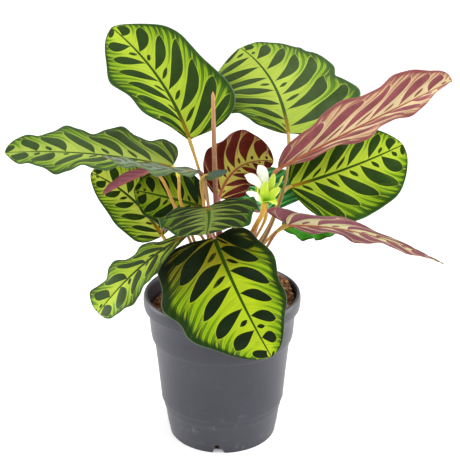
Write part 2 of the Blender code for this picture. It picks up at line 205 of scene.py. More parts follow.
class Paint:
    """Builds one material out of nodes."""

    def __init__(self, name: str) -> None:
        """Starts a material that holds a Principled shader.

        Args:
            name: the material's name.
        """
        self.material = bpy.data.materials.new(name)
        self.material.use_nodes = True
        self.tree = self.material.node_tree
        self.shader = self.tree.nodes["Principled BSDF"]

    def node(self, kind: str, settings: dict[str, Any], values: dict[Any, Any]) -> bpy.types.Node:
        """Adds a node of any kind.

        Args:
            kind: the node's type.
            settings: its properties, set before its sockets.
            values: numbers, colours, values or sockets by input name or place.

        Returns:
            The node.
        """
        made = self.tree.nodes.new(kind)
        for key, setting in settings.items():
            setattr(made, key, setting)
        for key, given in values.items():
            self.feed(made.inputs[key], given)
        return made

    def feed(self, socket: bpy.types.NodeSocket, given: Any) -> None:
        """Links or sets one input socket.

        Args:
            socket: the input.
            given: a Value, an output socket, or a constant.
        """
        if isinstance(given, Value):
            given = given.socket
        if isinstance(given, bpy.types.NodeSocket):
            self.tree.links.new(given, socket)
        elif socket.type == "RGBA" and len(given) == 3:
            socket.default_value = (*given, 1.0)
        else:
            socket.default_value = given

    def value(self, kind: str, settings: dict[str, Any], values: dict[Any, Any], out: Any = 0) -> Value:
        """Adds a node and returns one of its outputs as a Value."""
        return Value(self, self.node(kind, settings, values).outputs[out])

    def place(self) -> bpy.types.NodeSocket:
        """Returns the position in the object's own coordinates, in metres."""
        return self.node("ShaderNodeTexCoord", {}, {}).outputs["Object"]

    def attribute(self, name: str) -> bpy.types.Node:
        """Returns the Attribute node of a named attribute of the mesh."""
        return self.node("ShaderNodeAttribute", {"attribute_name": name}, {})

    def parts(self, name: str) -> tuple[Value, Value, Value]:
        """Returns the three numbers of a vector attribute."""
        split = self.node("ShaderNodeSeparateXYZ", {}, {0: self.attribute(name).outputs["Vector"]})
        return tuple(Value(self, split.outputs[i]) for i in range(3))

    def noise(self, scale: float, detail: float = 3.0, where: Any = None, rough: float = 0.5) -> Value:
        """Returns a noise from 0 to 1.

        Args:
            scale: how many times the noise repeats in a metre.
            detail: how many finer layers it has.
            where: the position it is read at, or None for the object's own.
            rough: how strong the finer layers are.

        Returns:
            The noise.
        """
        values = {"Vector": where or self.place(), "Scale": scale, "Detail": detail, "Roughness": rough}
        return self.value("ShaderNodeTexNoise", {}, values)

    def chance(self, number: Value) -> Value:
        """Returns an even random number from 0 to 1 for each number."""
        return self.value("ShaderNodeTexWhiteNoise", {"noise_dimensions": "1D"}, {"W": number})

    def mix(self, factor: Value | float, low: Colour, high: Colour, blend: str = "MIX") -> bpy.types.NodeSocket:
        """Mixes two colours.

        Args:
            factor: share of the second colour.
            low: the first colour.
            high: the second colour.
            blend: Blender's name of the way to blend.

        Returns:
            The mixed colour.
        """
        settings = {"data_type": "RGBA", "blend_type": blend, "clamp_factor": True}
        return self.node("ShaderNodeMix", settings, {0: factor, 6: low, 7: high}).outputs[2]

    def bump(self, height: Value, distance: float, strength: float = 1.0) -> None:
        """Feeds the shader's normal from a height.

        Args:
            height: the height, from 0 to 1.
            distance: what a height of 1 stands for, in metres.
            strength: share of the bump that shows.
        """
        values = {"Strength": strength, "Distance": distance, "Height": height}
        self.feed(self.shader.inputs["Normal"], self.node("ShaderNodeBump", {}, values).outputs["Normal"])

    def surface(self, colour: Any, roughness: Any, **constants: float) -> None:
        """Feeds the shader's colour and roughness, and sets its other inputs.

        Args:
            colour: the base colour.
            roughness: the roughness.
            constants: other inputs by name, with _ for a space.
        """
        self.feed(self.shader.inputs["Base Color"], colour)
        self.feed(self.shader.inputs["Roughness"], roughness)
        for name, number in constants.items():
            self.shader.inputs[name.replace("_", " ")].default_value = number


# Finishes.


@dataclass(frozen=True)
class LeafFinish:
    """Satin leaf: dark ovals on the side veins, fine stripes that thicken to a dark margin, on a light ground.

    The blade attribute holds (vein, across, along): vein numbers the side vein through a point by where it leaves
    the midrib, across runs from -1 to 1 and along from 0 to 1. The style attribute holds (seed, shade, distance
    from the midrib in mm), where shade sets a painted shadow over the base and darkens the margin and the midrib's
    foot. A third attribute holds (the share of a painted grey sheen of glancing light, plain, how much longer the
    ovals are), tint is the ground's colour and deep that of the ovals. near_rib and near_edge multiply the ground's
    colour by the midrib and the margin. Of the colours, the one after rib_foot is the tint of the painted shadow,
    and the next that of the painted sheen and of a thin pale line along the margin.
    """

    side: Sides
    margin: Rgb
    rib: Rgb
    rib_foot: Rgb
    painted_shadow_tint: Rgb
    veil: Rgb
    stripe: Rgb
    near_rib: Rgb
    near_edge: Rgb
    reach: float = 0.58
    oval_width: float = 0.31
    rib_width: float = 1.5
    rib_taper: float = 1.15
    margin_start: float = 0.84
    margin_end: float = 0.95
    cloud_scale: float = 38.0
    grain_scale: float = 1500.0
    relief: float = 0.00045
    roughness: float = 0.46
    specular: float = 0.07

    def material(self) -> bpy.types.Material:
        """Returns the leaf's material."""
        p = Paint("leaf_" + self.side.value)
        vein, across, along = p.parts("blade")
        seed, shade, distance = p.parts("style")
        veil, plain, longer = p.parts("sheen_plain_longer")
        ground = p.attribute("tint").outputs["Vector"]
        deep = p.attribute("deep").outputs["Vector"]
        out = abs(across)
        right = across.above(0.0)
        sway = p.noise(75.0, 1.0) - 0.5
        flow = vein + seed * SEED_SHIFT + right * HALF_SHIFT + sway * 0.16 * out
        # Painted shadow of the leaves above: where shade is set, the base darkens, its ground takes a tan shadow
        # tint, its ovals widen and its stripes and margin turn to the ovals' colour.
        painted_base_shadow = shade * (1.0 - along).ramp(0.62, 0.86)
        # Ovals: one on each side vein, pointed at the midrib and at the outer end, widest past the middle.
        phase = flow.fract() - 0.5
        luck = p.chance(flow.floor() + right * 17.0 + seed * 31.0)
        end = luck * 0.16 + self.reach + longer + (1.0 - along) ** 4.0 * 0.24
        t = ((out - 0.03) / (end - 0.03)).most(0.0).least(1.0)
        lens = t**1.15 * (1.0 - t) ** 0.75 * 3.5
        width = luck * 0.08 + self.oval_width - 0.04 + painted_base_shadow * 0.20 + longer * 0.35
        oval = (width * lens - abs(phase)).ramp(-0.012, 0.018)
        # Drops between the ovals, on the midrib, where chance puts them.
        between = flow + 0.5
        luck_drop = p.chance(between.floor() + right * 29.0 + seed * 13.0)
        t_drop = ((out - 0.05) / (luck_drop * 0.22 + 0.05)).most(0.0).least(1.0)
        drop_width = t_drop * (1.0 - t_drop) * 0.44 * luck_drop.above(0.35)
        drop = (drop_width - abs(between.fract() - 0.5)).ramp(-0.008, 0.02)
        # A line on each side vein, two more between them, and fine stripes, all wider towards the margin.
        line = (out.ramp(0.5, 1.0) * 0.16 + 0.014 - abs(phase)).ramp(-0.010, 0.014)
        thirds = flow * 3.0 + 0.5
        luck_third = p.chance(thirds.floor() + right * 41.0 + seed * 7.0)
        third_width = ((out - luck_third * 0.36 - 0.16) * 0.56).most(0.0)
        third = (third_width - abs(thirds.fract() - 0.5)).ramp(-0.05, 0.05) * out.ramp(0.15, 0.4)
        ninths = flow * 9.0
        luck_ninth = p.chance(ninths.floor() + seed * 5.0)
        ninth = abs(ninths.fract() - 0.5).ramp(0.08, 0.42, 1.0, 0.0) * (out - luck_ninth * 0.3).ramp(0.10, 0.62)
        grain_place = p.node("ShaderNodeCombineXYZ", {}, {0: flow * 21.0, 1: out * 2.5, 2: right + seed * 9.0})
        streak = p.noise(1.0, 3.0, grain_place.outputs[0])
        band = (out + sway * 0.07 + shade * 0.05).ramp(self.margin_start, self.margin_end)
        rib = (self.rib_width - along * self.rib_taper - distance).ramp(-0.18, 0.18) * (1.0 - plain * 0.7)
        # Colours, laid one over the other: ground with a painted shadow at the base, stripes, lines, margin, ovals
        # with a paler edge, midrib, a pale margin line and a painted grey sheen.
        marked = 1.0 - plain
        near = p.mix(1.0, ground, self.near_rib, "MULTIPLY")
        far = p.mix(1.0, ground, self.near_edge, "MULTIPLY")
        pale = p.mix(out.ramp(0.05, 0.85), near, far)
        # Painted shadow: at a shaded base the ground turns to the tan shadow tint.
        pale = p.mix(painted_base_shadow * 0.65, pale, self.painted_shadow_tint)
        pale = p.mix(1.0, pale, p.mix(streak, (0.58, 0.66, 0.50), (1.30, 1.24, 1.40)), "MULTIPLY")
        margin = p.mix(painted_base_shadow.most(shade * 0.4 + 0.3), self.margin, deep)
        stripe = p.mix(painted_base_shadow, self.stripe, deep)
        colour = p.mix(ninth * 0.52 * marked, pale, stripe)
        colour = p.mix(third * 0.85 * marked, colour, p.mix(out.ramp(0.55, 0.95), stripe, margin))
        colour = p.mix(line * marked, colour, margin)
        colour = p.mix(band * 0.95, colour, margin)
        heart = p.mix(1.0, deep, p.mix(p.noise(110.0, 2.0), (0.55, 0.6, 0.55), (1.5, 1.55, 1.6)), "MULTIPLY")
        halo = (width * lens + 0.055 - abs(phase)).ramp(-0.02, 0.03) * (1.0 - band) * (1.0 - painted_base_shadow)
        colour = p.mix(halo * 0.55 * marked, colour, p.mix(1.0, near, (1.06, 1.04, 1.1), "MULTIPLY"))
        colour = p.mix(oval.most(drop) * marked, colour, heart)
        foot = p.mix(shade, self.rib_foot, self.rib)
        colour = p.mix(rib, colour, p.mix(along.ramp(0.02, 0.24), foot, self.rib))
        # A thin pale line along the margin, in the colour of the painted sheen.
        colour = p.mix(out.ramp(0.975, 0.995) * 0.30, colour, self.veil)
        cloud = p.noise(self.cloud_scale, 3.0)
        colour = p.mix(1.0, colour, p.mix(cloud, (0.72, 0.74, 0.72), (1.12, 1.10, 1.12)), "MULTIPLY")
        # Painted sheen: clouds of grey that stand in for glancing light on the glossy leaf.
        colour = p.mix(veil * cloud.ramp(0.25, 0.6, 0.5, 1.0) * (1.0 - streak * 0.5), colour, self.veil)
        grain = p.noise(self.grain_scale, 2.0)
        height = ninth * 0.3 + abs(phase) * 1.3 + grain * 0.25 + streak * 0.3 - rib * 0.5
        p.bump(height, self.relief, 0.8)
        p.surface(colour, self.roughness + grain * 0.14 - oval * 0.05, Specular_IOR_Level=self.specular)
        return p.material


@dataclass(frozen=True)
class StalkFinish:
    """Stalk skin: the tint attribute's colour with long streaks and a fine ribbing."""

    name: str = "stalk_skin"
    streak: Rgb = (96, 52, 34)
    fleck: Rgb = (230, 200, 130)
    ribs: float = 14.0
    relief: float = 0.00012
    roughness: float = 0.42

    def material(self) -> bpy.types.Material:
        """Returns the stalk's material."""
        p = Paint(self.name)
        along, around, _ = p.parts("stem")
        tint = p.attribute("tint").outputs["Vector"]
        where = p.node("ShaderNodeCombineXYZ", {}, {0: along * 3.0, 1: around * 6.0, 2: 0.0}).outputs[0]
        streaks = p.noise(3.0, 4.0, where)
        blots = p.noise(420.0, 3.0)
        colour = p.mix(streaks.ramp(0.45, 0.75) * 0.35, tint, linear(self.streak))
        colour = p.mix(blots.ramp(0.55, 0.8) * 0.25, colour, linear(self.fleck))
        ribs = (around * TAU * self.ribs).sine() * 0.5 + 0.5
        p.bump(ribs * 0.6 + blots * 0.4, self.relief, 0.6)
        p.surface(colour, self.roughness + blots * 0.1)
        return p.material


@dataclass(frozen=True)
class PetalFinish:
    """Soft petal or bract: a colour that changes from its foot to its edge, with faint veins."""

    name: str
    foot: Rgb
    middle: Rgb
    edge: Rgb
    turn: float = 0.3
    veins: float = 7.0
    relief: float = 0.0002
    roughness: float = 0.5

    def material(self) -> bpy.types.Material:
        """Returns the petal's material."""
        p = Paint(self.name)
        _, across, along = p.parts("blade")
        out = abs(across)
        veins = abs((across * self.veins).fract() - 0.5).ramp(0.05, 0.35, 1.0, 0.0)
        cloud = p.noise(300.0, 3.0)
        colour = p.mix(along.ramp(self.turn - 0.25, self.turn + 0.2), linear(self.foot), linear(self.middle))
        colour = p.mix((out * along).ramp(0.35, 0.95), colour, linear(self.edge))
        colour = p.mix(veins * 0.18 + cloud * 0.12, colour, linear(self.foot))
        p.bump(veins * 0.5 + cloud, self.relief, 0.5)
        p.surface(colour, self.roughness + cloud * 0.1)
        return p.material


@dataclass(frozen=True)
class PotFinish:
    """Satin moulded plastic, with a faint mottle, scuffs and dust towards the foot."""

    colour: Rgb = (36, 37, 47)
    dust: Rgb = (108, 110, 118)
    dusty_height: float = 0.06
    relief: float = 0.00006
    roughness: float = 0.36

    def material(self) -> bpy.types.Material:
        """Returns the pot's material."""
        p = Paint("pot_plastic")
        place = p.place()
        height = Value(p, p.node("ShaderNodeSeparateXYZ", {}, {0: place}).outputs[2])
        cloud = p.noise(28.0, 4.0)
        grain = p.noise(2600.0, 2.0)
        stretched = p.node("ShaderNodeMapping", {}, {0: place, 3: (1.0, 1.0, 9.0)}).outputs[0]
        scuffs = p.noise(60.0, 6.0, stretched, 0.7).ramp(0.60, 0.72)
        dust = p.noise(140.0, 5.0, rough=0.65).ramp(0.58, 0.75) * height.ramp(0.0, self.dusty_height, 0.5, 0.12)
        colour = p.mix(cloud * 0.16, linear(self.colour), linear(self.dust))
        colour = p.mix(dust + scuffs * 0.10, colour, linear(self.dust))
        p.bump(grain * 0.7 + cloud * 0.3, self.relief, 0.5)
        p.surface(colour, self.roughness + cloud * 0.12 + dust * 0.2 + scuffs * 0.1, Specular_IOR_Level=0.4)
        return p.material


@dataclass(frozen=True)
class SoilFinish:
    """Coconut fibre and peat: dark crumbs with brown and orange fibres."""

    name: str
    dark: Rgb
    brown: Rgb
    light: Rgb
    scale: float = 420.0
    relief: float = 0.0012

    def material(self) -> bpy.types.Material:
        """Returns the soil's material."""
        p = Paint(self.name)
        coarse = p.noise(self.scale * 0.4, 5.0, rough=0.65)
        fine = p.noise(self.scale * 2.2, 4.0, rough=0.7)
        bits = p.value("ShaderNodeTexVoronoi", {}, {"Vector": p.place(), "Scale": self.scale}, "Distance")
        luck = p.noise(self.scale * 0.9, 1.0)
        colour = p.mix(coarse.ramp(0.35, 0.65), linear(self.dark), linear(self.brown))
        colour = p.mix(luck.ramp(0.55, 0.72) * fine, colour, linear(self.light))
        p.bump(coarse + fine * 0.5 - bits * 0.5, self.relief, 0.8)
        p.surface(colour, 0.82 + fine * 0.15)
        return p.material


@dataclass(frozen=True)
class FloorFinish:
    """Plain pale floor, a little bright of itself as a lit sweep is."""

    colour: Rgb = (250, 250, 250)
    glow: float = 0.26

    def material(self) -> bpy.types.Material:
        """Returns the floor's material."""
        p = Paint("floor_pale")
        tone = p.noise(6.0, 2.0)
        pale = linear(self.colour)
        colour = p.mix(tone * 0.02, pale, tuple(channel * 0.9 for channel in pale))
        p.surface(colour, 0.7, Emission_Strength=self.glow)
        p.shader.inputs["Emission Color"].default_value = (1.0, 1.0, 1.0, 1.0)
        return p.material


# In each finish the colour after rib_foot is the tan tint of the painted base shadow, and the next is the grey of
# the painted sheen, which also draws a pale line along the margin.
LEAF_UPPER = LeafFinish(
    Sides.UPPER, linear((36, 78, 6)), linear((42, 76, 8)), linear((160, 126, 26)), linear((118, 92, 26)),
    linear((168, 178, 158)), linear((84, 128, 8)), (1.14, 1.10, 3.2), (0.78, 0.88, 0.9),
)
LEAF_UNDER = LeafFinish(
    Sides.UNDER, linear((146, 80, 76)), linear((156, 84, 64)), linear((180, 112, 76)), linear((140, 74, 50)),
    linear((190, 150, 150)), linear((168, 100, 90)), (1.0, 1.0, 1.0), (0.96, 0.9, 0.85),
    reach=0.88, oval_width=0.44, roughness=0.5,
)
BRACT = PetalFinish("bract_skin", (112, 176, 14), (196, 218, 50), (232, 238, 130))
PETAL = PetalFinish("petal_skin", (190, 206, 60), (250, 250, 240), (250, 240, 244), 0.45)


# Meshes.


def grid_faces(rows: int, columns: int, around: bool = False) -> np.ndarray:
    """Returns the four corners of each face of a grid of points, row by row.

    Args:
        rows: number of rows of points.
        columns: number of points in a row.
        around: whether each row closes on itself.

    Returns:
        One row of four indices for each face.
    """
    corner = np.arange(rows * columns).reshape(rows, columns)
    after = np.roll(corner, -1, axis=1)
    quads = np.stack([corner[:-1], after[:-1], after[1:], corner[1:]], axis=-1)
    if not around:
        quads = quads[:, :-1]
    return quads.reshape(-1, 4)


def stacked(rings: np.ndarray) -> tuple[np.ndarray, list[Any]]:
    """Joins a stack of rings, and closes both its ends.

    Args:
        rings: points in millimetres, ring by ring, each ring anticlockwise seen from the end of the stack.

    Returns:
        Points in metres, and faces.
    """
    rows, sides = rings.shape[:2]
    faces = grid_faces(rows, sides, around=True).tolist()
    faces.append(list(range(sides))[::-1])
    faces.append(list(range((rows - 1) * sides, rows * sides)))
    return rings.reshape(-1, 3) * MM, faces


def closed_sheet(upper: np.ndarray, lower: np.ndarray) -> tuple[np.ndarray, np.ndarray]:
    """Joins the two faces of a sheet round their margin.

    Args:
        upper: grid of points of the upper face, in millimetres.
        lower: grid of points of the lower face.

    Returns:
        Points in metres, and faces: those of the upper face, of the lower face and of the margin.
    """
    rows, columns = upper.shape[:2]
    count = rows * columns
    corner = np.arange(count).reshape(rows, columns)
    rim = np.concatenate([corner[0, :-1], corner[:-1, -1], corner[-1, :0:-1], corner[:0:-1, 0]])
    after = np.roll(rim, -1)
    top = grid_faces(rows, columns)
    sides = np.stack([rim + count, after + count, after, rim], axis=-1)
    points = np.concatenate([upper.reshape(-1, 3), lower.reshape(-1, 3)]) * MM
    return points, np.concatenate([top, top[:, ::-1] + count, sides])


def add_piece(
    name: str,
    points: np.ndarray,
    faces: list[Any],
    materials: list[bpy.types.Material],
    nodes: tuple[str, ...],
    attributes: dict[str, np.ndarray] | None = None,
    face_materials: np.ndarray | None = None,
    crease: float = 50.0,
) -> bpy.types.Object:
    """Adds one finished piece of the object.

    Args:
        name: the piece's name.
        points: its vertices, in metres.
        faces: its faces, as rows of indices.
        materials: its materials.
        nodes: the CAD nodes that it stands for.
        attributes: vectors at its vertices, by name.
        face_materials: the number of each face's material.
        crease: angle, in degrees, above which an edge stays sharp.

    Returns:
        The piece.
    """
    mesh = bpy.data.meshes.new(name)
    mesh.from_pydata(points.tolist(), [], faces)
    for key, vectors in (attributes or {}).items():
        data = mesh.attributes.new(key, "FLOAT_VECTOR", "POINT").data
        data.foreach_set("vector", np.ascontiguousarray(vectors, np.float32).ravel())
    for material in materials:
        mesh.materials.append(material)
    if face_materials is not None:
        mesh.polygons.foreach_set("material_index", np.ascontiguousarray(face_materials, np.int32))
    mesh.shade_smooth()
    mesh.set_sharp_from_angle(angle=math.radians(crease))
    mesh.update()
    piece = bpy.data.objects.new(name, mesh)
    bpy.context.scene.collection.objects.link(piece)
    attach(piece, BODY)
    if nodes:
        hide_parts(*nodes)
    log.info("%s: %d faces, stands for %s", name, len(mesh.polygons), ", ".join(nodes) or "no node")
    return piece


def curve_through(points: Any, places: np.ndarray) -> tuple[np.ndarray, np.ndarray]:
    """Follows the polynomial through a few points, with its parameter in step with the distance between them.

    Args:
        points: the points.
        places: where to read the curve, from 0 to 1.

    Returns:
        Positions, and unit directions.
    """
    points = np.asarray(points, float)
    steps = np.linalg.norm(np.diff(points, axis=0), axis=1)
    knots = np.concatenate([[0.0], np.cumsum(steps)]) / steps.sum()
    order = len(points) - 1
    terms = np.polyfit(knots, points, order)
    position = sum(terms[i] * places[:, None] ** (order - i) for i in range(order + 1))
    slope = sum((order - i) * terms[i] * places[:, None] ** (order - i - 1) for i in range(order))
    return position, unit(slope)


def pair(values: Pair, across: np.ndarray) -> np.ndarray:
    """Returns the left value where across is negative, and the right value elsewhere."""
    return np.where(across < 0, values[0], values[1])


class Blade(NamedTuple):
    """Leaf blade: three points along its midrib from base to tip, the way its upper face looks, and its form.

    Pairs give the left and the right half, seen from above with the tip ahead. half is the greatest half-width,
    widest its place from base (0) to tip (1), fold the lift of each half from the midrib, lobe how far the base
    reaches back past the stalk, and wave (height, waves, start). ground is the colour between the dark ovals of
    the upper face and deep that of the ovals, under and under_deep are those of the lower face, veins is how many
    side veins each half has, shade how dark a painted shadow makes the base (it also darkens the margin and the
    midrib's foot), veil how much a painted grey sheen of glancing light covers the leaf, plain how faint
    its ovals and longer how much nearer they come to the margin. slant tells how far the side veins lean towards
    the tip, and frill (share of the width, waves, start) how the outline swells and narrows.
    """

    route: tuple[Point, Point, Point]
    face: Point
    half: Pair
    fold: Pair = (8.0, 8.0)
    widest: Pair = (0.45, 0.45)
    blunt: Pair = (0.62, 0.62)
    lobe: Pair = (0.0, 0.0)
    wave: Point = (2.0, 3.0, 0.0)
    curl: float = -20.0
    flatten: float = 0.0
    end_face: Point | None = None
    ground: Rgb = (168, 192, 26)
    under: Rgb = (214, 192, 146)
    deep: Rgb = (34, 58, 6)
    under_deep: Rgb = (134, 70, 74)
    veins: float = 5.4
    shade: float = 0.0
    veil: float = 0.0
    plain: float = 0.0
    longer: float = 0.0
    seed: float = 0.0
    slant: Pair = (0.5, 0.5)
    frill: tuple[Point, Point] = ((0.03, 2.6, 0.1), (0.03, 2.2, 0.55))


class Stalk(NamedTuple):
    """Stalk of a leaf: where it stands on the crown, points it passes, and its colours from foot to blade."""

    foot: Pair
    via: tuple[Point, ...] = ()
    low: Rgb = (118, 78, 46)
    high: Rgb = (190, 142, 58)
    collar: Rgb = (186, 152, 60)


BLADES: dict[str, Blade] = {
    "upper_left": Blade(
        ((-24, 14, 232), (-45, 22, 274), (-80, 34, 310)), (0.1, -0.95, 0.3), (28, 40), (15, 13),
        widest=(0.64, 0.26), blunt=(0.62, 0.75), wave=(2.5, 3, 0), veins=5.7, veil=0.03, longer=0.1, seed=0.13,
        slant=(1.5, 0.6), frill=((0.08, 2.5, -0.5), (0.09, 1.8, -0.05)),
    ),
    "upper_right": Blade(
        ((49, 18, 235), (41, 34, 263), (14, 66, 290)), (0.1, -0.8, 0.6), (49, 64), (2, -4),
        widest=(0.72, 0.2), blunt=(0.32, 0.72), lobe=(3, 12), wave=(5, 3.5, 0), veins=6.8, veil=0.08, seed=0.37,
        frill=((0.04, 1.0, -0.6), (0.085, 4.2, -0.03)), longer=0.12, ground=(164, 186, 34), deep=(44, 66, 10),
    ),
    "far_right": Blade(
        ((41, -18, 219), (82, -22, 243), (160, -10, 280)), (-0.35, 0.75, 0.55), (24, 27), (22, 22),
        widest=(0.6, 0.56), blunt=(0.5, 0.54), wave=(2.5, 3, 0), veins=5.6, seed=0.59, slant=(1.9, 1.9), shade=0.5,
        longer=-0.24,
    ),
    "right": Blade(
        ((53, 40, 187), (99, 54, 198), (144, 72, 212)), (-0.1, -0.8, 0.6), (32, 42), wave=(2, 3, 0.2), veins=5.0,
        longer=0.12, seed=0.71, slant=(1.5, 0.6),
    ),
    "back": Blade(
        ((34, 30, 170), (30, 57, 182), (26, 84, 190)), (0, -0.4, 0.9), (32, 36), ground=(108, 206, 84),
        deep=(30, 112, 44), longer=0.2, veins=6.0, seed=0.83,
    ),
    "lower_right": Blade(
        ((48, -12, 174), (93, -20, 173), (160, -30, 151)), (0.25, 0.55, 0.8), (22, 30), (15, 15),
        widest=(0.33, 0.16), blunt=(0.95, 2.4), lobe=(4, 28), flatten=1.0, seed=0.29, under_deep=(132, 76, 84),
        under=(206, 200, 150),
    ),
    "back_right": Blade(
        ((47, 25, 158), (67, 38, 155), (92, 50, 148)), (0, -0.6, 0.8), (10, 12), (5, 5), seed=0.47,
        ground=(64, 152, 24), deep=(40, 112, 24), shade=0.2, longer=0.2, plain=0.4,
    ),
    "centre": Blade(
        ((-2, 11, 187), (12, 14, 210), (38, 8, 217)), (-0.3, 0.9, 0.3), (26, 33), (20, 5),
        widest=(0.36, 0.6), under=(196, 188, 84), under_deep=(92, 26, 20), seed=0.91, longer=0.1,
    ),
    "far_left": Blade(
        ((-37, 22, 208), (-95, 15, 220), (-158, 5, 224)), (0.05, -0.2, 0.97), (32, 29), (12, 22),
        widest=(0.7, 0.33), blunt=(0.75, 0.5), lobe=(0, 9), wave=(3.5, 3.5, 0), curl=-16, veins=5.8, veil=0.08,
        longer=0.14, ground=(158, 180, 40), deep=(44, 68, 16), seed=0.05,
    ),
    "left": Blade(
        ((-47, 33, 149), (-75, 48, 178), (-104, 58, 193)), (-0.2, -0.8, 0.5), (23, 26), (5, 5),
        widest=(0.36, 0.45), veins=5.2, seed=0.17, ground=(188, 212, 44),
    ),
    "inner_left": Blade(
        ((-14, 22, 176), (-41, 25, 183), (-67, 25, 189)), (0.1, -0.85, 0.5), (22, 24), (5, 5),
        ground=(128, 152, 14), deep=(18, 38, 4), shade=0.8, veins=4.6, longer=0.15, seed=0.23,
    ),
    # The dark ground and ovals of inner_front are painted shade: the leaf stands under the leaves above.
    "inner_front": Blade(
        ((-10, -25, 192), (-8, -60, 197), (-9, -98, 199)), (-0.12, 0.12, 0.98), (33, 34), (20, 10),
        flatten=1.0, curl=-12, wave=(3, 3, 0), ground=(108, 126, 26), deep=(26, 38, 6), veil=0.03, veins=7.0,
        longer=0.25, seed=0.67,
    ),
    # The shade of front paints the shadow of the leaf above over its base: a tan ground and near-black ovals there.
    "front": Blade(
        ((-5, -38, 174), (10, -68, 148), (35, -70, 97)), (0, -0.8, 0.6), (33, 52), (0, -4),
        widest=(0.37, 0.34), lobe=(16, 16), curl=-25, end_face=(0, -0.97, 0.25), shade=1.0,
        ground=(160, 184, 12), deep=(14, 30, 6), veins=5.4, seed=0.41,
        frill=((0.05, 3.0, 0.2), (0.05, 3.4, 0.0)),
    ),
    "lower_left": Blade(
        ((-23, -24, 172), (-53, -45, 158), (-86, -62, 127)), (-0.2, -0.5, 0.85), (20, 16), (20, 15),
        widest=(0.77, 0.74), blunt=(0.4, 0.42), wave=(3, 3.5, 0), veins=5.0, veil=0.10, seed=0.53, longer=0.1,
        frill=((0.10, 3.6, 0.4), (0.08, 3.2, 0.2)),
    ),
    # The greyish ground and ovals of side_left, with its strong sheen, are painted glare of light glancing off the
    # leaf.
    "side_left": Blade(
        ((-17, -12, 215), (-50, -23, 222), (-83, -28, 231)), (0, 0.05, 0.99), (14, 14), (5, 5), seed=0.77,
        ground=(128, 140, 74), deep=(62, 76, 44), veil=0.24, veins=6.0,
    ),
    "young_left": Blade(
        ((-53, 8, 209), (-71, 6, 201), (-88, 4, 192)), (0.3, 0.6, 0.7), (6, 6), (50, 50),
        wave=(0.3, 2, 0), seed=0.97, under=(150, 92, 102), under_deep=(124, 66, 80), plain=0.75,
    ),
    "small": Blade(
        ((-11, -19, 214), (-4, -21, 216), (4, -23, 218)), (0, -0.1, 1), (8, 8), (5, 5),
        wave=(0.5, 2, 0), ground=(76, 96, 56), deep=(34, 52, 26), veil=0.14, plain=0.4, seed=0.33,
    ),
}

STALKS: dict[str, Stalk] = {
    "upper_left": Stalk((-6.5, 3.5), ((-10, 2, 184), (-15, 6, 204))),
    "upper_right": Stalk((12.5, 2.0), ((38, 6, 170), (48, 11, 205)), high=(150, 128, 56)),
    "far_right": Stalk((13.0, -3.5), ((33, -7, 194),), low=(120, 66, 52), high=(150, 84, 74), collar=(190, 110, 80)),
    "right": Stalk((9.0, 7.0), ((36, 14, 165),)),
    "back": Stalk((3.5, 12.5), ((20, 24, 140),)),
    "lower_right": Stalk((9.5, -8.5), ((32, -10, 154),), low=(140, 84, 48), high=(176, 120, 60)),
    "back_right": Stalk((8.5, 12.0), ((28, 19, 142),)),
    "centre": Stalk((2.0, 5.0), low=(120, 60, 50), high=(196, 132, 92), collar=(196, 120, 90)),
    "far_left": Stalk((-11.0, 3.5), ((-31, 8, 186),), high=(196, 152, 40), collar=(220, 206, 40)),
    "left": Stalk((-12.0, 8.5)),
    "inner_left": Stalk((-2.5, 12.5)),
    "inner_front": Stalk((0.0, -9.0), collar=(150, 84, 70)),
    "front": Stalk((3.5, -13.5), high=(170, 112, 88), collar=(196, 130, 110)),
    "lower_left": Stalk((-9.5, -10.0)),
    "side_left": Stalk((-6.5, -1.8), ((-11, -7, 199),), high=(170, 140, 90), collar=(110, 62, 58)),
    "young_left": Stalk((-13.0, -1.5), ((-37, 0, 190),), high=(184, 138, 44), collar=(150, 96, 60)),
    "small": Stalk((-4.5, -6.5), ((-13, -10.2, 190),)),
}


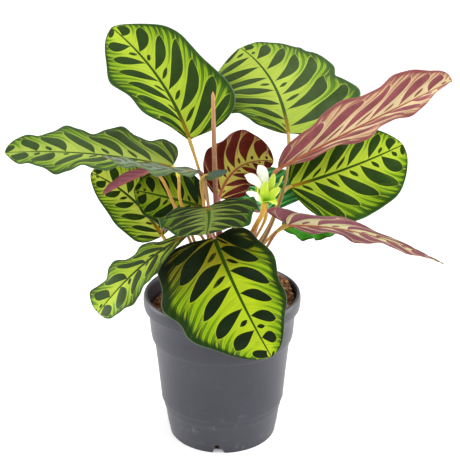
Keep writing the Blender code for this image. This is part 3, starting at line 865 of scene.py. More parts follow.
@dataclass
class LeafBlades:
    """The blades of the leaves, as sheets with a raised midrib, pleats along the side veins and waved margins."""

    slots: dict[str, str]
    rows: int = 97
    columns: int = 61
    skin: float = 0.17
    margin_skin: float = 0.07
    foot_width: float = 2.4
    tip_width: float = 0.4
    rib_height: float = 1.0
    rib_width: float = 1.1
    groove: float = 0.35
    pleat: float = 0.42
    vein_fan: float = 2.6
    vein_sweep: float = 1.1
    materials: list[bpy.types.Material] = field(default_factory=list)

    def dress(self) -> None:
        """Makes the materials of the two faces."""
        self.materials = [LEAF_UPPER.material(), LEAF_UNDER.material()]

    def middle_surface(self, blade: Blade, along: np.ndarray, across: np.ndarray) -> tuple[np.ndarray, np.ndarray]:
        """Works out the sheet that runs through the middle of a blade.

        The outline is w(s) = (1 - |2 s^k - 1|^2.2)^b (1 + f |v| sin(2 pi (m s + q))), where k puts the widest
        place where the table says. A point lies out from the midrib by an arc of half * w * |v|, bent by curl and
        lifted by fold, then raised by the wave h v^2 w sin(2 pi (n s + p)) and moved back by lobe v^2 w (1 - s)^3.

        Args:
            blade: the blade's table row.
            along: places s from base to tip, as a column.
            across: places v from the left margin to the right, as a row.

        Returns:
            Points in millimetres, and the distance of each from the midrib.
        """
        middle, ahead = curve_through(blade.route, along[:, 0])
        first = unit(np.array(blade.face, float))
        last = unit(np.array(blade.end_face or blade.face, float))
        face = first * (1 - along) + last * along
        face = unit(face - ahead * (face * ahead).sum(axis=1, keepdims=True))
        right = np.cross(ahead, face)
        out = np.abs(across)
        swell = along ** (math.log(0.5) / np.log(pair(blade.widest, across)))
        width = np.clip(1 - np.abs(2 * swell - 1) ** 2.2, 0, 1) ** pair(blade.blunt, across)
        share, waves, start = (pair(values, across) for values in zip(*blade.frill))
        width = width * (1 + share * out * np.sin(TAU * (waves * along + start)))
        stub = self.foot_width * (1 - along) + self.tip_width * along
        arc = out * (pair(blade.half, across) * width + stub / 2)
        turn = math.radians(blade.curl) * out * width
        chord = arc * np.sinc(turn / TAU)
        angle = np.radians(pair(blade.fold, across)) * (1 - blade.flatten * along) + turn / 2
        height, waves, start = blade.wave
        ripple = np.sin(TAU * (waves * along + start + 0.35 * (across < 0)))
        small = 0.18 * np.sin(TAU * (2.7 * waves * along + 2.1 * start + blade.seed)) * out**4
        sideways = np.sign(across) * chord * np.cos(angle)
        upward = chord * np.sin(angle) + height * width * (out**2 * ripple + small)
        backward = -pair(blade.lobe, across) * out**2 * width * (1 - along) ** 3
        points = (
            middle[:, None]
            + right[:, None] * sideways[..., None]
            + face[:, None] * upward[..., None]
            + ahead[:, None] * backward[..., None]
        )
        return points, arc

    def build(self, name: str, blade: Blade) -> bpy.types.Object:
        """Builds one blade as a closed sheet.

        The side vein through a point is numbered a = n s^(1 + slant |v| + sweep |v|^3) - fan |v|^1.5 (1 - s)^5,
        so that veins leave the midrib at a slant, bend towards the tip and spread out from the base. Both faces
        follow pleats of cos(2 pi a), and the lower one bulges by the rib, h (1 - 0.8 s) exp(-(d / w)^2), where d
        is the distance from the midrib.

        Args:
            name: the leaf's name.
            blade: its table row.

        Returns:
            The blade.
        """
        along = (1 - np.cos(np.pi * np.linspace(0, 1, self.rows))) / 2
        along = along[:, None]
        even = np.linspace(-1, 1, self.columns)
        across = (even * (0.6 + 0.4 * even**2))[None]
        points, arc = self.middle_surface(blade, along, across)
        down = np.gradient(points, axis=0)
        sideways = np.gradient(points, axis=1)
        normal = unit(np.cross(sideways, down))
        out = np.abs(across)
        vein = blade.veins * along ** (1 + pair(blade.slant, across) * out + self.vein_sweep * out**3)
        vein = vein - self.vein_fan * out**1.5 * (1 - along) ** 5
        phase = TAU * (vein + HALF_SHIFT * (across > 0) + SEED_SHIFT * blade.seed)
        pleats = -self.pleat * np.cos(phase) * smooth(out, 0.02, 0.3) * (1 - smooth(out, 0.85, 1.0))
        skin = self.skin + (self.margin_skin - self.skin) * smooth(out, 0.6, 1.0)
        rib = np.exp(-((arc / self.rib_width) ** 2))
        groove = self.groove * rib * (1 - 0.6 * along)
        upper = points + normal * (pleats + skin - groove)[..., None]
        lower = points + normal * (pleats - skin - self.rib_height * rib * (1 - 0.8 * along))[..., None]
        both, faces = closed_sheet(upper, lower)
        count = self.rows * self.columns
        kinds = np.zeros(len(faces))
        quads = (self.rows - 1) * (self.columns - 1)
        kinds[quads : 2 * quads] = 1
        full = np.broadcast_to
        shape = (self.rows, self.columns)
        places = np.stack([full(vein, shape), full(across, shape), full(along, shape)], axis=-1).reshape(-1, 3)
        seeds = np.full(count, blade.seed)
        style = np.stack([seeds, np.full(count, blade.shade), arc.reshape(-1)], axis=-1)
        attributes = {
            "blade": np.tile(places, (2, 1)),
            "style": np.tile(style, (2, 1)),
            "sheen_plain_longer": np.tile([blade.veil, blade.plain, blade.longer], (2 * count, 1)),
            "tint": np.repeat([linear(blade.ground), linear(blade.under)], count, axis=0),
            "deep": np.repeat([linear(blade.deep), linear(blade.under_deep)], count, axis=0),
        }
        node = "leaf_" + name
        return add_piece("blade_" + name, both, faces.tolist(), self.materials, (node,), attributes, kinds)


def stem_route(start: Any, via: Any, end: Any, direction: Any, count: int) -> np.ndarray:
    """Follows cubic arcs from a foot, which they leave upright, to an end reached along a given direction.

    Each arc is (1-t)^3 a + 3 (1-t)^2 t p + 3 (1-t) t^2 q + t^3 b, with p and q a third of its length from its ends.

    Args:
        start: the foot.
        via: points to pass on the way.
        end: the last point.
        direction: the direction in which it is reached.
        count: how many points each arc is given.

    Returns:
        The points.
    """
    stops = [np.asarray(stop, float) for stop in (start, *via, end)]
    slopes = [np.array([0.0, 0.0, 1.0])]
    slopes += [unit(stops[i + 1] - stops[i - 1]) for i in range(1, len(stops) - 1)]
    slopes.append(unit(np.asarray(direction, float)))
    t = np.linspace(0, 1, count, endpoint=False)[:, None]
    arcs = []
    for a, b, m, n in zip(stops, stops[1:], slopes, slopes[1:]):
        length = np.linalg.norm(b - a)
        p = a + m * length / 3
        q = b - n * length / 3
        arcs.append((1 - t) ** 3 * a + 3 * (1 - t) ** 2 * t * p + 3 * (1 - t) * t**2 * q + t**3 * b)
    return np.concatenate([*arcs, stops[-1][None]])


def tube(
    route: np.ndarray, radii: np.ndarray, sides: int, flat: np.ndarray | float = 0.0
) -> tuple[np.ndarray, list[Any], np.ndarray]:
    """Carries a round or flattened profile along a route.

    A ring's points lie at r ((1 + f) cos(a) u + (1 - f) sin(a) w) from the route, where u and w cross it.

    Args:
        route: the points followed, in millimetres.
        radii: the radius at each.
        sides: how many points a ring has.
        flat: how much each ring is flattened.

    Returns:
        Points in metres, faces, and (share of the length, share of the way round, 0) for each point.
    """
    ahead = unit(np.gradient(route, axis=0))
    plan = np.array([route[-1, 1] - route[0, 1], route[0, 0] - route[-1, 0], 0.0])
    plan = unit(plan) if np.linalg.norm(plan) > 1e-6 else np.array([1.0, 0.0, 0.0])
    u = unit(plan - ahead * (ahead @ plan)[:, None])
    w = np.cross(ahead, u)
    turns = np.arange(sides) / sides * TAU
    flat = np.broadcast_to(np.asarray(flat, float), radii.shape)
    one = (radii * (1 + flat))[:, None, None] * np.cos(turns)[None, :, None] * u[:, None]
    two = (radii * (1 - flat))[:, None, None] * np.sin(turns)[None, :, None] * w[:, None]
    points, faces = stacked(route[:, None] + one + two)
    rows = len(route)
    travelled = distances(route)
    share = travelled / travelled[-1]
    stem = np.stack([np.repeat(share, sides), np.tile(turns / TAU, rows), np.zeros(rows * sides)], axis=-1)
    return points, faces, stem


def distances(route: np.ndarray) -> np.ndarray:
    """Returns how far along a route each of its points lies."""
    return np.concatenate([[0.0], np.cumsum(np.linalg.norm(np.diff(route, axis=0), axis=1))])


def fade(low: Rgb, high: Rgb, share: np.ndarray) -> np.ndarray:
    """Returns linear colours that run from low to high as the share does, one for each ring."""
    return np.array(linear(low)) * (1 - share[:, None]) + np.array(linear(high)) * share[:, None]


def add_stem(
    names: tuple[str, str], shape: tuple[np.ndarray, list[Any], np.ndarray], tint: np.ndarray, material: Any
) -> bpy.types.Object:
    """Adds a stem made by tube, with its colour ring by ring.

    Args:
        names: the piece's name, and that of the CAD node that it stands for.
        shape: points, faces and stem vectors.
        tint: the colour of each ring.
        material: the stem's material.

    Returns:
        The stem.
    """
    points, faces, stem = shape
    piece, node = names
    attributes = {"stem": stem, "tint": np.repeat(tint, len(points) // len(tint), axis=0)}
    return add_piece(piece, points, faces, [material], (node,), attributes)


@dataclass
class LeafStalks:
    """The stalks of the leaves: sheathed at the foot, slender above, and swollen into a collar below the blade."""

    slots: dict[str, str]
    arc_points: int = 26
    sides: int = 16
    sheath_radius: float = 2.3
    radius: float = 1.15
    collar_radius: float = 1.45
    collar_length: float = 12.0
    into_blade: float = 1.2
    end_length: float = 1.5
    material: bpy.types.Material | None = None

    def dress(self) -> None:
        """Makes the stalks' material."""
        self.material = StalkFinish().material()

    def build(self, name: str, stalk: Stalk, blade: Blade) -> bpy.types.Object:
        """Builds one stalk.

        Its radius falls from the sheath's to the stalk's over the lowest half, and rises to the collar's just
        below the blade.

        Args:
            name: the leaf's name.
            stalk: the stalk's table row.
            blade: the blade that it carries.

        Returns:
            The stalk.
        """
        base, ahead = curve_through(blade.route, np.array([0.0]))
        end = base[0] + ahead[0] * self.into_blade
        route = stem_route((*stalk.foot, CROWN_TOP), stalk.via, end, ahead[0], self.arc_points)
        travelled = distances(route)
        share = travelled / travelled[-1]
        left = travelled[-1] - travelled
        sheath = 1 - smooth(share, 0.05, 0.5)
        collar = smooth(left, self.collar_length, self.collar_length * 0.75)
        radii = self.radius + (self.sheath_radius - self.radius) * sheath
        radii = radii + (self.collar_radius - radii) * collar
        radii = np.where(left < self.end_length, radii * (0.72 + 0.28 * left / self.end_length), radii)
        shape = tube(route, radii, self.sides, 0.12 * sheath)
        tint = fade(stalk.low, stalk.high, smooth(share, 0.1, 0.85)) * (1 - collar[:, None])
        tint = tint + np.array(linear(stalk.collar)) * collar[:, None]
        node = "stalk_" + name
        return add_stem(("stem_" + name, node), shape, tint, self.material)


@dataclass
class NewLeaf:
    """The new leaf, still rolled up: its stalk, and the spear of the rolled blade."""

    foot: Pair = (2.0, -1.0)
    join: Point = (-4.5, -6.0, 198.0)
    spear: tuple[Point, Point, Point] = ((-4.6, -6.1, 197.0), (-5.5, -7.0, 235.0), (-6.0, -8.0, 272.0))
    stalk_radius: float = 2.2
    spear_radius: float = 2.0
    tip_radius: float = 1.25
    lap: float = 0.42
    sides: int = 48
    rows: int = 60
    stalk_sides: int = 20
    stalk_points: int = 40
    low: Rgb = (104, 52, 42)
    high: Rgb = (132, 70, 58)
    body: Rgb = (120, 76, 54)
    tip: Rgb = (190, 138, 90)

    def build(self, material: bpy.types.Material) -> None:
        """Builds the stalk and the spear.

        The spear's ring has the radius r (1 - q / 2 + q a / 2 pi), which leaves a step at a = 0 where the rolled
        blade laps over itself, and the step turns slowly with height.

        Args:
            material: the stalks' material.
        """
        route = stem_route((*self.foot, CROWN_TOP), (), self.join, (-0.05, -0.05, 1.0), self.stalk_points)
        share = np.linspace(0, 1, len(route))
        radii = self.stalk_radius * (1 + 0.10 * np.sin(np.pi * share)) * (1 - 0.1 * smooth(share, 0.9, 1))
        shape = tube(route, radii, self.stalk_sides, 0.08)
        add_stem(("new_stalk", "new_leaf_stalk"), shape, fade(self.low, self.high, share), material)
        share = np.linspace(0, 1, self.rows)
        route, _ = curve_through(self.spear, share)
        radii = self.spear_radius + (self.tip_radius - self.spear_radius) * share**1.5
        radii = radii * np.sqrt(1 - 0.97 * smooth(share, 0.955, 1.0))
        radii = radii * (1 - 0.3 * (1 - smooth(share, 0.0, 0.05)))
        points, _, stem = tube(route, np.ones(self.rows), self.sides)
        rings = points.reshape(self.rows, self.sides, 3) / MM
        turn = (np.arange(self.sides) / self.sides)[None] + 0.35 * share[:, None] + 0.1
        reach = radii[:, None] * (1 - self.lap / 2 + self.lap * (turn % 1.0) * 0.75)
        shape = (*stacked(route[:, None] + (rings - route[:, None]) * reach[..., None]), stem)
        add_stem(("spear", "rolled_leaf"), shape, fade(self.body, self.tip, share), material)


CALM: Point = (0.5, 2.0, 0.0)


def bract(route: tuple[Point, Point, Point], face: Point, half: float, fold: float) -> Blade:
    """Returns the shape of a bract, whose halves are alike and hardly waved."""
    return Blade(route, face, (half, half), (fold, fold), wave=CALM)


FLOWER_PARTS: dict[str, Blade] = {
    "bract_1": bract(((2.3, 0.9, 0.3), (8, 1.4, 8.5), (13, 1.8, 19)), (-0.8, 0, 0.5), 4.0, 20),
    "bract_2": bract(((1.9, -1.8, 0.3), (4.4, -6.5, 2.8), (8, -9.5, 1.2)), (-0.2, 0.3, 0.9), 3.8, 15),
    "bract_3": bract(((-2.4, -0.1, 0.6), (-7, -0.4, 4.8), (-10, -0.8, 9.8)), (0.6, 0.2, 0.8), 3.8, 15),
    "bract_4": bract(((-0.6, 2.5, 0.6), (-1.4, 7.5, 9), (-2, 9, 19)), (0, -0.9, 0.3), 4.6, 20),
    "bract_5": bract(((0.2, -2.3, 0.3), (-0.6, -4.0, 8), (0.6, -5, 17)), (0, -0.9, 0.3), 2.5, 15),
    "bract_6": bract(((1.4, -2.2, 0.3), (4.6, -3.7, 6), (10.5, -4.5, 12)), (-0.3, -0.8, 0.3), 2.5, 15),
    "bract_7": bract(((-1.9, -1.3, 0.3), (-3.5, -2.5, 7), (-5, -3, 13)), (0.3, -0.5, 0.8), 2.5, 15),
    "bract_8": bract(((0.9, 0.6, 0.3), (3.6, 0.7, 10), (6.5, 0.5, 21)), (-0.4, -0.9, 0.2), 2.4, 15),
    "petal_1": Blade(
        ((-0.6, -0.6, 0.3), (-2.8, -3.5, 12), (-14.5, -7, 22)), (-0.1, -0.8, 0.6), (3.0, 3.0), (12, 12),
        widest=(0.8, 0.8), blunt=(1.1, 1.1), wave=(0.8, 2.5, 0.2),
    ),
    "petal_2": Blade(
        ((0.9, 1.0, 0.3), (0.5, 2, 14), (-5, 1, 27)), (0, -0.9, 0.4), (3.4, 3.4), (12, 12),
        widest=(0.8, 0.8), blunt=(1.1, 1.1), wave=(0.8, 2.5, 0.6),
    ),
    "petal_3": Blade(
        ((-0.7, -2.4, 0.3), (-6, -8.5, 6.5), (-13.5, -9.5, 10.5)), (0.2, -0.7, 0.8), (2.4, 2.4), (15, 15),
        widest=(0.6, 0.6), wave=CALM,
    ),
}


@dataclass
class Flower:
    """The flower: its stalk, its cupped bracts and its petals, whose routes start from the top of the stalk."""

    slots: dict[str, str]
    place: Point = (30.7, -24.5, 196.0)
    foot: Pair = (7.3, -4.0)
    via: Point = (22.0, -14.0, 168.0)
    stalk_radius: float = 1.9
    head_radius: float = 2.7
    rows: int = 33
    columns: int = 25
    skin: float = 0.16
    stalk_sides: int = 20
    arc_points: int = 30
    low: Rgb = (150, 92, 44)
    high: Rgb = (226, 172, 50)

    def build(self, stem_material: bpy.types.Material, sheets: LeafBlades) -> None:
        """Builds the stalk, the bracts and the petals.

        Args:
            stem_material: the stalks' material.
            sheets: what works out the surface of a blade.
        """
        route = stem_route((*self.foot, CROWN_TOP), (self.via,), self.place, (0, 0, 1), self.arc_points)
        share = np.linspace(0, 1, len(route))
        radii = self.stalk_radius + (self.head_radius - self.stalk_radius) * smooth(share, 0.85, 0.97)
        radii = radii + 0.5 * (1 - smooth(share, 0.0, 0.35))
        tint = fade(self.low, self.high, smooth(share, 0.3, 0.95))
        shape = tube(route, radii, self.stalk_sides)
        add_stem(("flower_stem", "flower_stalk"), shape, tint, stem_material)
        finishes = {"bract": BRACT.material(), "petal": PETAL.material()}
        along = np.linspace(0, 1, self.rows)[:, None]
        across = np.linspace(-1, 1, self.columns)[None]
        places = np.stack(np.broadcast_arrays(0.0, across, along), axis=-1).reshape(-1, 3)
        attributes = {"blade": np.tile(places, (2, 1))}
        for name, part in FLOWER_PARTS.items():
            route = tuple(tuple(np.add(point, self.place)) for point in part.route)
            points, _ = sheets.middle_surface(part._replace(route=route), along, across)
            normal = unit(np.cross(np.gradient(points, axis=1), np.gradient(points, axis=0)))
            both, faces = closed_sheet(points + normal * self.skin, points - normal * self.skin)
            kind = name.split("_")[0]
            nodes = (name,) if name in self.slots else ()
            add_piece("flower_" + name, both, faces.tolist(), [finishes[kind]], nodes, attributes)


@dataclass
class Pot:
    """The nursery pot: turned from its profile, with notches and holes for drainage round its foot."""

    outside: tuple[Pair, ...] = (
        (41.9, 0.0), (42.2, 2.0), (43.2, 7.6), (43.4, 8.2), (45.2, 21.5), (45.6, 22.6), (46.1, 24.0), (46.6, 27.0),
        (46.8, 29.2), (47.1, 29.7), (47.8, 30.1), (48.0, 30.6), (48.0, 31.6), (50.0, 55.5), (52.3, 79.1),
        (52.6, 79.9), (54.0, 81.1), (54.3, 81.9), (54.9, 85.5), (55.6, 94.5), (56.3, 104.1), (56.7, 104.8),
        (58.6, 105.4), (59.4, 106.3), (59.8, 108.0), (60.0, 112.0), (59.9, 114.0), (59.4, 115.9), (58.7, 116.8),
        (58.0, 117.0),
    )
    inside: tuple[Pair, ...] = (
        (57.2, 116.8), (56.6, 116.0), (56.2, 113.5), (55.6, 107.5), (54.9, 104.5), (54.2, 94.5), (53.5, 85.5),
        (52.9, 81.5), (50.9, 79.5), (48.6, 55.5), (45.9, 27.5), (44.8, 23.0), (43.8, 21.5), (41.8, 8.0),
    )
    floor_top: float = 4.0
    floor_under: float = 2.4
    foot_ring: float = 2.6
    pad: float = 9.0
    steps: int = 216
    notches: int = 4
    notch_width: float = 8.0
    notch_height: float = 3.4
    hole_radius: float = 1.8
    hole_height: float = 6.0
    hole_aside: float = 0.8
    hole_sides: int = 24
    rod_reach: float = 5.0
    turn: float = 4.0

    def profile(self) -> np.ndarray:
        """Returns the closed profile from the axis underneath to the axis inside, as (radius, height)."""
        foot = self.outside[0][0] - self.foot_ring
        under = [
            (0.05, 0.0), (self.pad - 0.4, 0.0), (self.pad, 0.3), (self.pad, self.floor_under),
            (foot, self.floor_under), (foot, 0.3), (foot + 0.3, 0.0),
        ]
        top = [(41.4, self.floor_top + 0.4), (40.6, self.floor_top), (20.0, self.floor_top), (0.05, self.floor_top)]
        return np.array([*under, *self.outside, *self.inside, *top])

    def build(self) -> None:
        """Builds the pot.

        Each point turns round the axis. Near the foot its height is lifted to the notch's height by a window
        across each notch, so the foot ring and the lowest wall are open there.
        """
        profile = self.profile()
        turns = np.arange(self.steps) / self.steps * TAU
        radius, height = profile[:, :1], profile[:, 1:]
        x, y = radius * np.cos(turns), radius * np.sin(turns)
        front = math.radians(270 - self.turn)
        spacing = TAU / self.notches
        off = (turns - front + spacing / 2) % spacing - spacing / 2
        window = 1 - smooth(np.abs(off) * self.outside[0][0], self.notch_width / 2 - 0.4, self.notch_width / 2 + 0.4)
        foot = self.outside[0][0] - self.foot_ring - 0.1
        low = (radius > foot) & (height < self.notch_height)
        z = np.where(low, height + (self.notch_height - height) * window[None], height + 0 * turns)
        points, faces = stacked(np.stack([x, y, z], axis=-1))
        pot = add_piece("nursery_pot", points, faces, [PotFinish().material()], ("pot",), crease=35.0)
        self.pierce(pot, front)

    def pierce(self, pot: bpy.types.Object, front: float) -> None:
        """Cuts a round drain hole through the wall above each notch.

        Args:
            pot: the pot.
            front: the direction of the first notch, in radians.
        """
        turns = np.arange(self.hole_sides) / self.hole_sides * TAU
        ring = np.stack([0 * turns, np.sin(turns), np.cos(turns)], axis=-1) * self.hole_radius
        wall = self.outside[0][0]
        ends = [(wall + reach, self.hole_aside, self.hole_height) for reach in (-self.rod_reach, self.rod_reach)]
        rod = ring[None] + np.array(ends)[:, None]
        rods, faces = [], []
        for i in range(self.notches):
            angle = front + i * TAU / self.notches
            cos, sin = math.cos(angle), math.sin(angle)
            points, quads = stacked(rod @ np.array([(cos, sin, 0.0), (sin, -cos, 0.0), (0.0, 0.0, 1.0)]))
            rods.append(points)
            faces += [[index + i * len(points) for index in quad] for quad in quads]
        mesh = bpy.data.meshes.new("hole_rods")
        mesh.from_pydata(np.concatenate(rods).tolist(), [], faces)
        cutter = bpy.data.objects.new("hole_rods", mesh)
        bpy.context.scene.collection.objects.link(cutter)
        cut = pot.modifiers.new("holes", "BOOLEAN")
        cut.operation, cut.solver, cut.object = "DIFFERENCE", "EXACT", cutter
        graph = bpy.context.evaluated_depsgraph_get()
        pierced = bpy.data.meshes.new_from_object(pot.evaluated_get(graph), depsgraph=graph)
        log.info("nursery_pot: %d faces with its holes", len(pierced.polygons))
        pot.modifiers.remove(cut)
        pot.data = pierced
        bpy.data.objects.remove(cutter)
        bpy.data.meshes.remove(mesh)


@dataclass
class Soil:
    """The soil: a lumpy bed, with chips and fibres of coconut husk lying on it, and the crown that stands in it."""

    edge: float = 107.0
    middle: float = 110.1
    lean: float = 0.06
    steps: int = 168
    rings: int = 58
    heap: Point = (45.0, 18.0, 9.5)
    heap_reach: float = 15.0
    chips: int = 1300
    chip_reach: float = 52.6
    fibres: int = 420
    fibre_points: int = 7
    fibre_radius: float = 0.19
    fibre_reach: float = 49.0
    rim_reach: float = 52.0
    lift: float = 0.15
    crown_radius: float = 15.6
    crown_foot: float = 105.9
    crown_height: float = 5.5
    crown_steps: int = 96
    crown_rings: int = 20
    seed: int = 11

    def top(self, x: np.ndarray, y: np.ndarray) -> np.ndarray:
        """Returns the height of the bed: a low leaning dome with lumps of three sizes, and a heap on one side.

        The heap adds h exp(-(d / reach)^2), where d is the distance from its middle.

        Args:
            x: places along X, in millimetres.
            y: places along Y.

        Returns:
            Heights.
        """
        r = np.hypot(x, y)
        dome = self.edge + (self.middle - self.edge) * np.clip(1 - r / 54, 0, 1) ** 0.7
        lumps = 0.9 * np.sin(0.23 * x + 0.11 * y) * np.cos(0.17 * y - 0.09 * x)
        lumps = lumps + 0.45 * np.sin(0.61 * x - 0.48 * y + 1.0) * np.sin(0.53 * y + 0.4 * x)
        lumps = lumps + 0.28 * np.sin(1.7 * x + 0.9 * y) * np.sin(1.9 * y - 0.8 * x + 2.0)
        at_x, at_y, height = self.heap
        heap = height * np.exp(-(((x - at_x) ** 2 + (y - at_y) ** 2) / self.heap_reach**2))
        return dome + self.lean * x + heap + lumps * (1 - smooth(r, 50.0, 53.4))

    def build(self) -> None:
        """Builds the bed, the chips, the fibres and the crown."""
        self.build_bed()
        rng = np.random.default_rng(self.seed)
        self.build_chips(rng)
        self.build_fibres(rng)
        self.build_crown()

    def build_bed(self) -> None:
        """Builds the bed as rings from the bottom of the plug up its wall and in to the middle."""
        turns = np.arange(self.steps) / self.steps * TAU
        wall = np.array(
            [(3.0, 4.35), (40.2, 4.35), (41.2, 8.0), (43.4, 21.9), (44.5, 23.7), (45.5, 27.9), (48.2, 55.7),
             (50.4, 79.7), (52.4, 81.9), (53.0, 85.7), (53.7, 94.7), (54.0, 100.0), (54.2, 103.0)]
        )
        inner = np.linspace(53.6, 0.4, self.rings)
        radius = np.concatenate([wall[:, 0], inner])[:, None]
        x, y = radius * np.cos(turns), radius * np.sin(turns)
        z = np.concatenate([wall[:, 1][:, None] + 0 * turns, self.top(x[len(wall):], y[len(wall):])])
        points, faces = stacked(np.stack([x, y, z], axis=-1))
        finish = SoilFinish("soil_crumbs", (34, 22, 14), (150, 104, 62), (200, 152, 102))
        add_piece("soil_bed", points, faces, [finish.material()], ("soil",), crease=70.0)

    def scatter(self, rng: np.random.Generator, count: int, reach: float) -> tuple[np.ndarray, np.ndarray]:
        """Returns random places on the bed, even over its area.

        Args:
            rng: the source of random numbers.
            count: how many.
            reach: the greatest radius.

        Returns:
            Places along X and along Y.
        """
        r = reach * np.sqrt(rng.random(count))
        a = TAU * rng.random(count)
        return r * np.cos(a), r * np.sin(a)

    def build_chips(self, rng: np.random.Generator) -> None:
        """Builds the chips: each is a rough block of eight corners, turned at random.

        Args:
            rng: the source of random numbers.
        """
        x, y = self.scatter(rng, self.chips, self.chip_reach)
        cube = np.array([(i, j, k) for i in (-1, 1) for j in (-1, 1) for k in (-1, 1)], float)
        size = rng.uniform(0.4, 1.0, (self.chips, 1, 3)) * rng.uniform(0.5, 1.0, (self.chips, 1, 1)) ** 2 * 2.0
        size[:, :, 0] *= rng.uniform(1.0, 2.4, (self.chips, 1))
        block = cube[None] * size * rng.uniform(0.7, 1.1, (self.chips, 8, 3))
        yaw, tilt = TAU * rng.random((self.chips, 1)), rng.uniform(-0.9, 0.9, (self.chips, 1))
        bx = block[..., 0] * np.cos(tilt) - block[..., 2] * np.sin(tilt)
        bz = block[..., 0] * np.sin(tilt) + block[..., 2] * np.cos(tilt)
        px = x[:, None] + bx * np.cos(yaw) - block[..., 1] * np.sin(yaw)
        py = y[:, None] + bx * np.sin(yaw) + block[..., 1] * np.cos(yaw)
        pz = self.top(x, y)[:, None] + bz + self.lift
        points = np.stack([px, py, pz], axis=-1).reshape(-1, 3) * MM
        quads = np.array([(0, 1, 3, 2), (4, 6, 7, 5), (0, 4, 5, 1), (2, 3, 7, 6), (0, 2, 6, 4), (1, 5, 7, 3)])
        faces = (quads[None] + 8 * np.arange(self.chips)[:, None, None]).reshape(-1, 4)
        finish = SoilFinish("soil_husk", (76, 50, 30), (184, 132, 82), (228, 184, 130), 260.0)
        add_piece("soil_chips", points, faces.tolist(), [finish.material()], ())

    def build_fibres(self, rng: np.random.Generator) -> None:
        """Builds the fibres: each is a thin three-sided thread that bows over the bed.

        Args:
            rng: the source of random numbers.
        """
        x, y = self.scatter(rng, self.fibres, self.fibre_reach)
        t = np.linspace(-1, 1, self.fibre_points)[None]
        length = rng.uniform(1.5, 7.0, (self.fibres, 1))
        yaw, bend = TAU * rng.random((self.fibres, 1)), rng.uniform(-0.5, 0.5, (self.fibres, 1))
        heading = yaw + bend * t
        cx = x[:, None] + length * t * np.cos(heading)
        cy = y[:, None] + length * t * np.sin(heading)
        far = np.hypot(cx, cy)
        pull = np.minimum(1.0, self.rim_reach / np.maximum(far, 1e-6))
        cx, cy = cx * pull, cy * pull
        bow = rng.uniform(0.3, 2.2, (self.fibres, 1)) * (1 - t**2)
        cz = self.top(cx, cy) + self.lift + bow
        turns = np.arange(3) / 3 * TAU
        thick = (self.fibre_radius * (1 - 0.6 * t**2))[..., None]
        px = cx[..., None] - thick * np.cos(turns) * np.sin(heading)[..., None]
        py = cy[..., None] + thick * np.cos(turns) * np.cos(heading)[..., None]
        pz = cz[..., None] + thick * np.sin(turns)
        points = np.stack([px, py, pz], axis=-1).reshape(-1, 3) * MM
        one = stacked(np.zeros((self.fibre_points, 3, 3)))[1]
        step = 3 * self.fibre_points
        faces = [[index + i * step for index in face] for i in range(self.fibres) for face in one]
        finish = SoilFinish("soil_fibre", (112, 66, 34), (168, 112, 62), (206, 156, 100), 300.0)
        add_piece("soil_fibres", points, faces, [finish.material()], ())

    def build_crown(self) -> None:
        """Builds the crown: a low mound whose edge is scalloped by the feet of the stalks."""
        turns = np.arange(self.crown_steps) / self.crown_steps * TAU
        share = np.linspace(0, 1, self.crown_rings)[:, None]
        edge = self.crown_radius + 0.8 * np.sin(9 * turns) + 0.5 * np.sin(23 * turns + 1)
        radius = edge * np.sin(share * np.pi / 2 * 0.985 + 0.01)
        z = self.crown_foot + self.crown_height * (1 - share**3)
        z = z - 0.35 * (1 + np.sin(0.9 * radius * np.cos(turns))) * (1 - share)
        rings = np.stack([radius * np.cos(turns), radius * np.sin(turns), z], axis=-1)
        points, faces = stacked(rings[::-1])
        finish = SoilFinish("crown_bark", (60, 42, 26), (108, 78, 46), (150, 116, 70), 500.0)
        add_piece("crown_mound", points, faces, [finish.material()], ("crown",), crease=70.0)


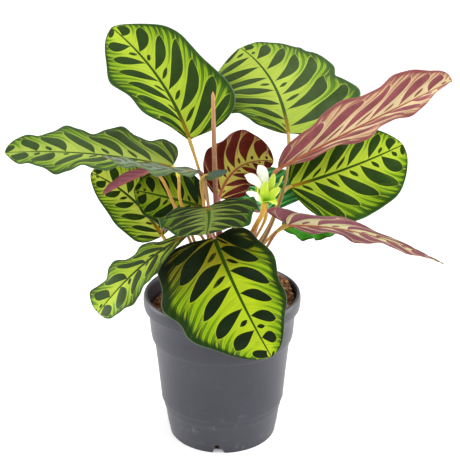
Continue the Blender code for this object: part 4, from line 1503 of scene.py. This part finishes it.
@dataclass
class Studio:
    """The pale floor, the soft lights and the camera."""

    floor_size: float = 30.0
    camera_place: Point = (0.006, -0.673, 0.4135)
    camera_pitch: float = 20.2
    camera_lens: float = 75.36
    world_strength: float = 0.92
    floor_drop: float = 0.0002
    aim: float = 0.12
    lamps: tuple[tuple[str, Point, float, float], ...] = (
        ("key", (0.75, -0.55, 1.7), 0.9, 14.0),
        ("fill", (-1.1, -0.9, 1.2), 0.9, 4.0),
        ("side_right", (1.2, 0.25, 0.35), 0.6, 9.0),
        ("side_left", (-1.2, 0.25, 0.35), 0.6, 9.0),
    )

    def build(self) -> None:
        """Builds the floor, the lights and the camera."""
        self.build_floor()
        self.build_lights()
        self.build_camera()

    def build_floor(self) -> None:
        """Lays the floor just under the pot."""
        half = self.floor_size / 2
        mesh = bpy.data.meshes.new("floor")
        corners = [(-half, -half), (half, -half), (half, half), (-half, half)]
        mesh.from_pydata([(x, y, -self.floor_drop) for x, y in corners], [], [(0, 1, 2, 3)])
        mesh.materials.append(FloorFinish().material())
        floor = bpy.data.objects.new("floor", mesh)
        bpy.context.scene.collection.objects.link(floor)

    def build_lights(self) -> None:
        """Hangs the lamps and sets the pale world."""
        scene = bpy.context.scene
        scene.view_settings.view_transform = "Standard"
        world = bpy.data.worlds.new("studio")
        world.use_nodes = True
        background = world.node_tree.nodes["Background"]
        background.inputs["Color"].default_value = (1.0, 1.0, 1.0, 1.0)
        background.inputs["Strength"].default_value = self.world_strength
        scene.world = world
        for lamp in self.lamps:
            self.add_lamp(*lamp)

    def add_lamp(self, name: str, place: Point, size: float, power: float) -> None:
        """Adds one square lamp that faces the plant.

        Args:
            name: its name.
            place: where it hangs, in metres.
            size: its side, in metres.
            power: its power, in watts.
        """
        lamp = bpy.data.lights.new(name, "AREA")
        lamp.shape = "SQUARE"
        lamp.size = size
        lamp.energy = power
        obj = bpy.data.objects.new(name, lamp)
        obj.location = place
        x, y, z = place
        flat = math.hypot(x, y)
        obj.rotation_euler = (math.atan2(flat, z - self.aim), 0.0, math.atan2(-x, y) + math.pi)
        bpy.context.scene.collection.objects.link(obj)

    def build_camera(self) -> None:
        """Places the camera, looking down on the plant from the front."""
        data = bpy.data.cameras.new("camera")
        data.sensor_width = 36.0
        data.lens = self.camera_lens
        data.clip_start = 0.05
        data.clip_end = 100.0
        camera = bpy.data.objects.new("camera", data)
        camera.location = self.camera_place
        camera.rotation_euler = (math.radians(90 - self.camera_pitch), 0.0, 0.0)
        bpy.context.scene.collection.objects.link(camera)
        bpy.context.scene.camera = camera


def plain(box: Any) -> list[list[float]]:
    """Returns a box as plain lists of numbers."""
    return [[float(x) for x in corner] for corner in box]


def main() -> None:
    """Builds the whole plant in its pot, with the studio round it."""
    logging.basicConfig(level=logging.INFO, format="%(name)s: %(message)s")
    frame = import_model()
    slots = {row["node"]: row["material_slot"] for row in frame["record"]["subparts"]}
    Studio().build()
    Pot().build()
    Soil().build()
    blades = LeafBlades(slots)
    blades.dress()
    stalks = LeafStalks(slots)
    stalks.dress()
    for name, blade in BLADES.items():
        blades.build(name, blade)
        stalks.build(name, STALKS[name], blade)
    NewLeaf().build(stalks.material)
    Flower(slots).build(stalks.material, blades)


if __name__ == "__main__":
    main()
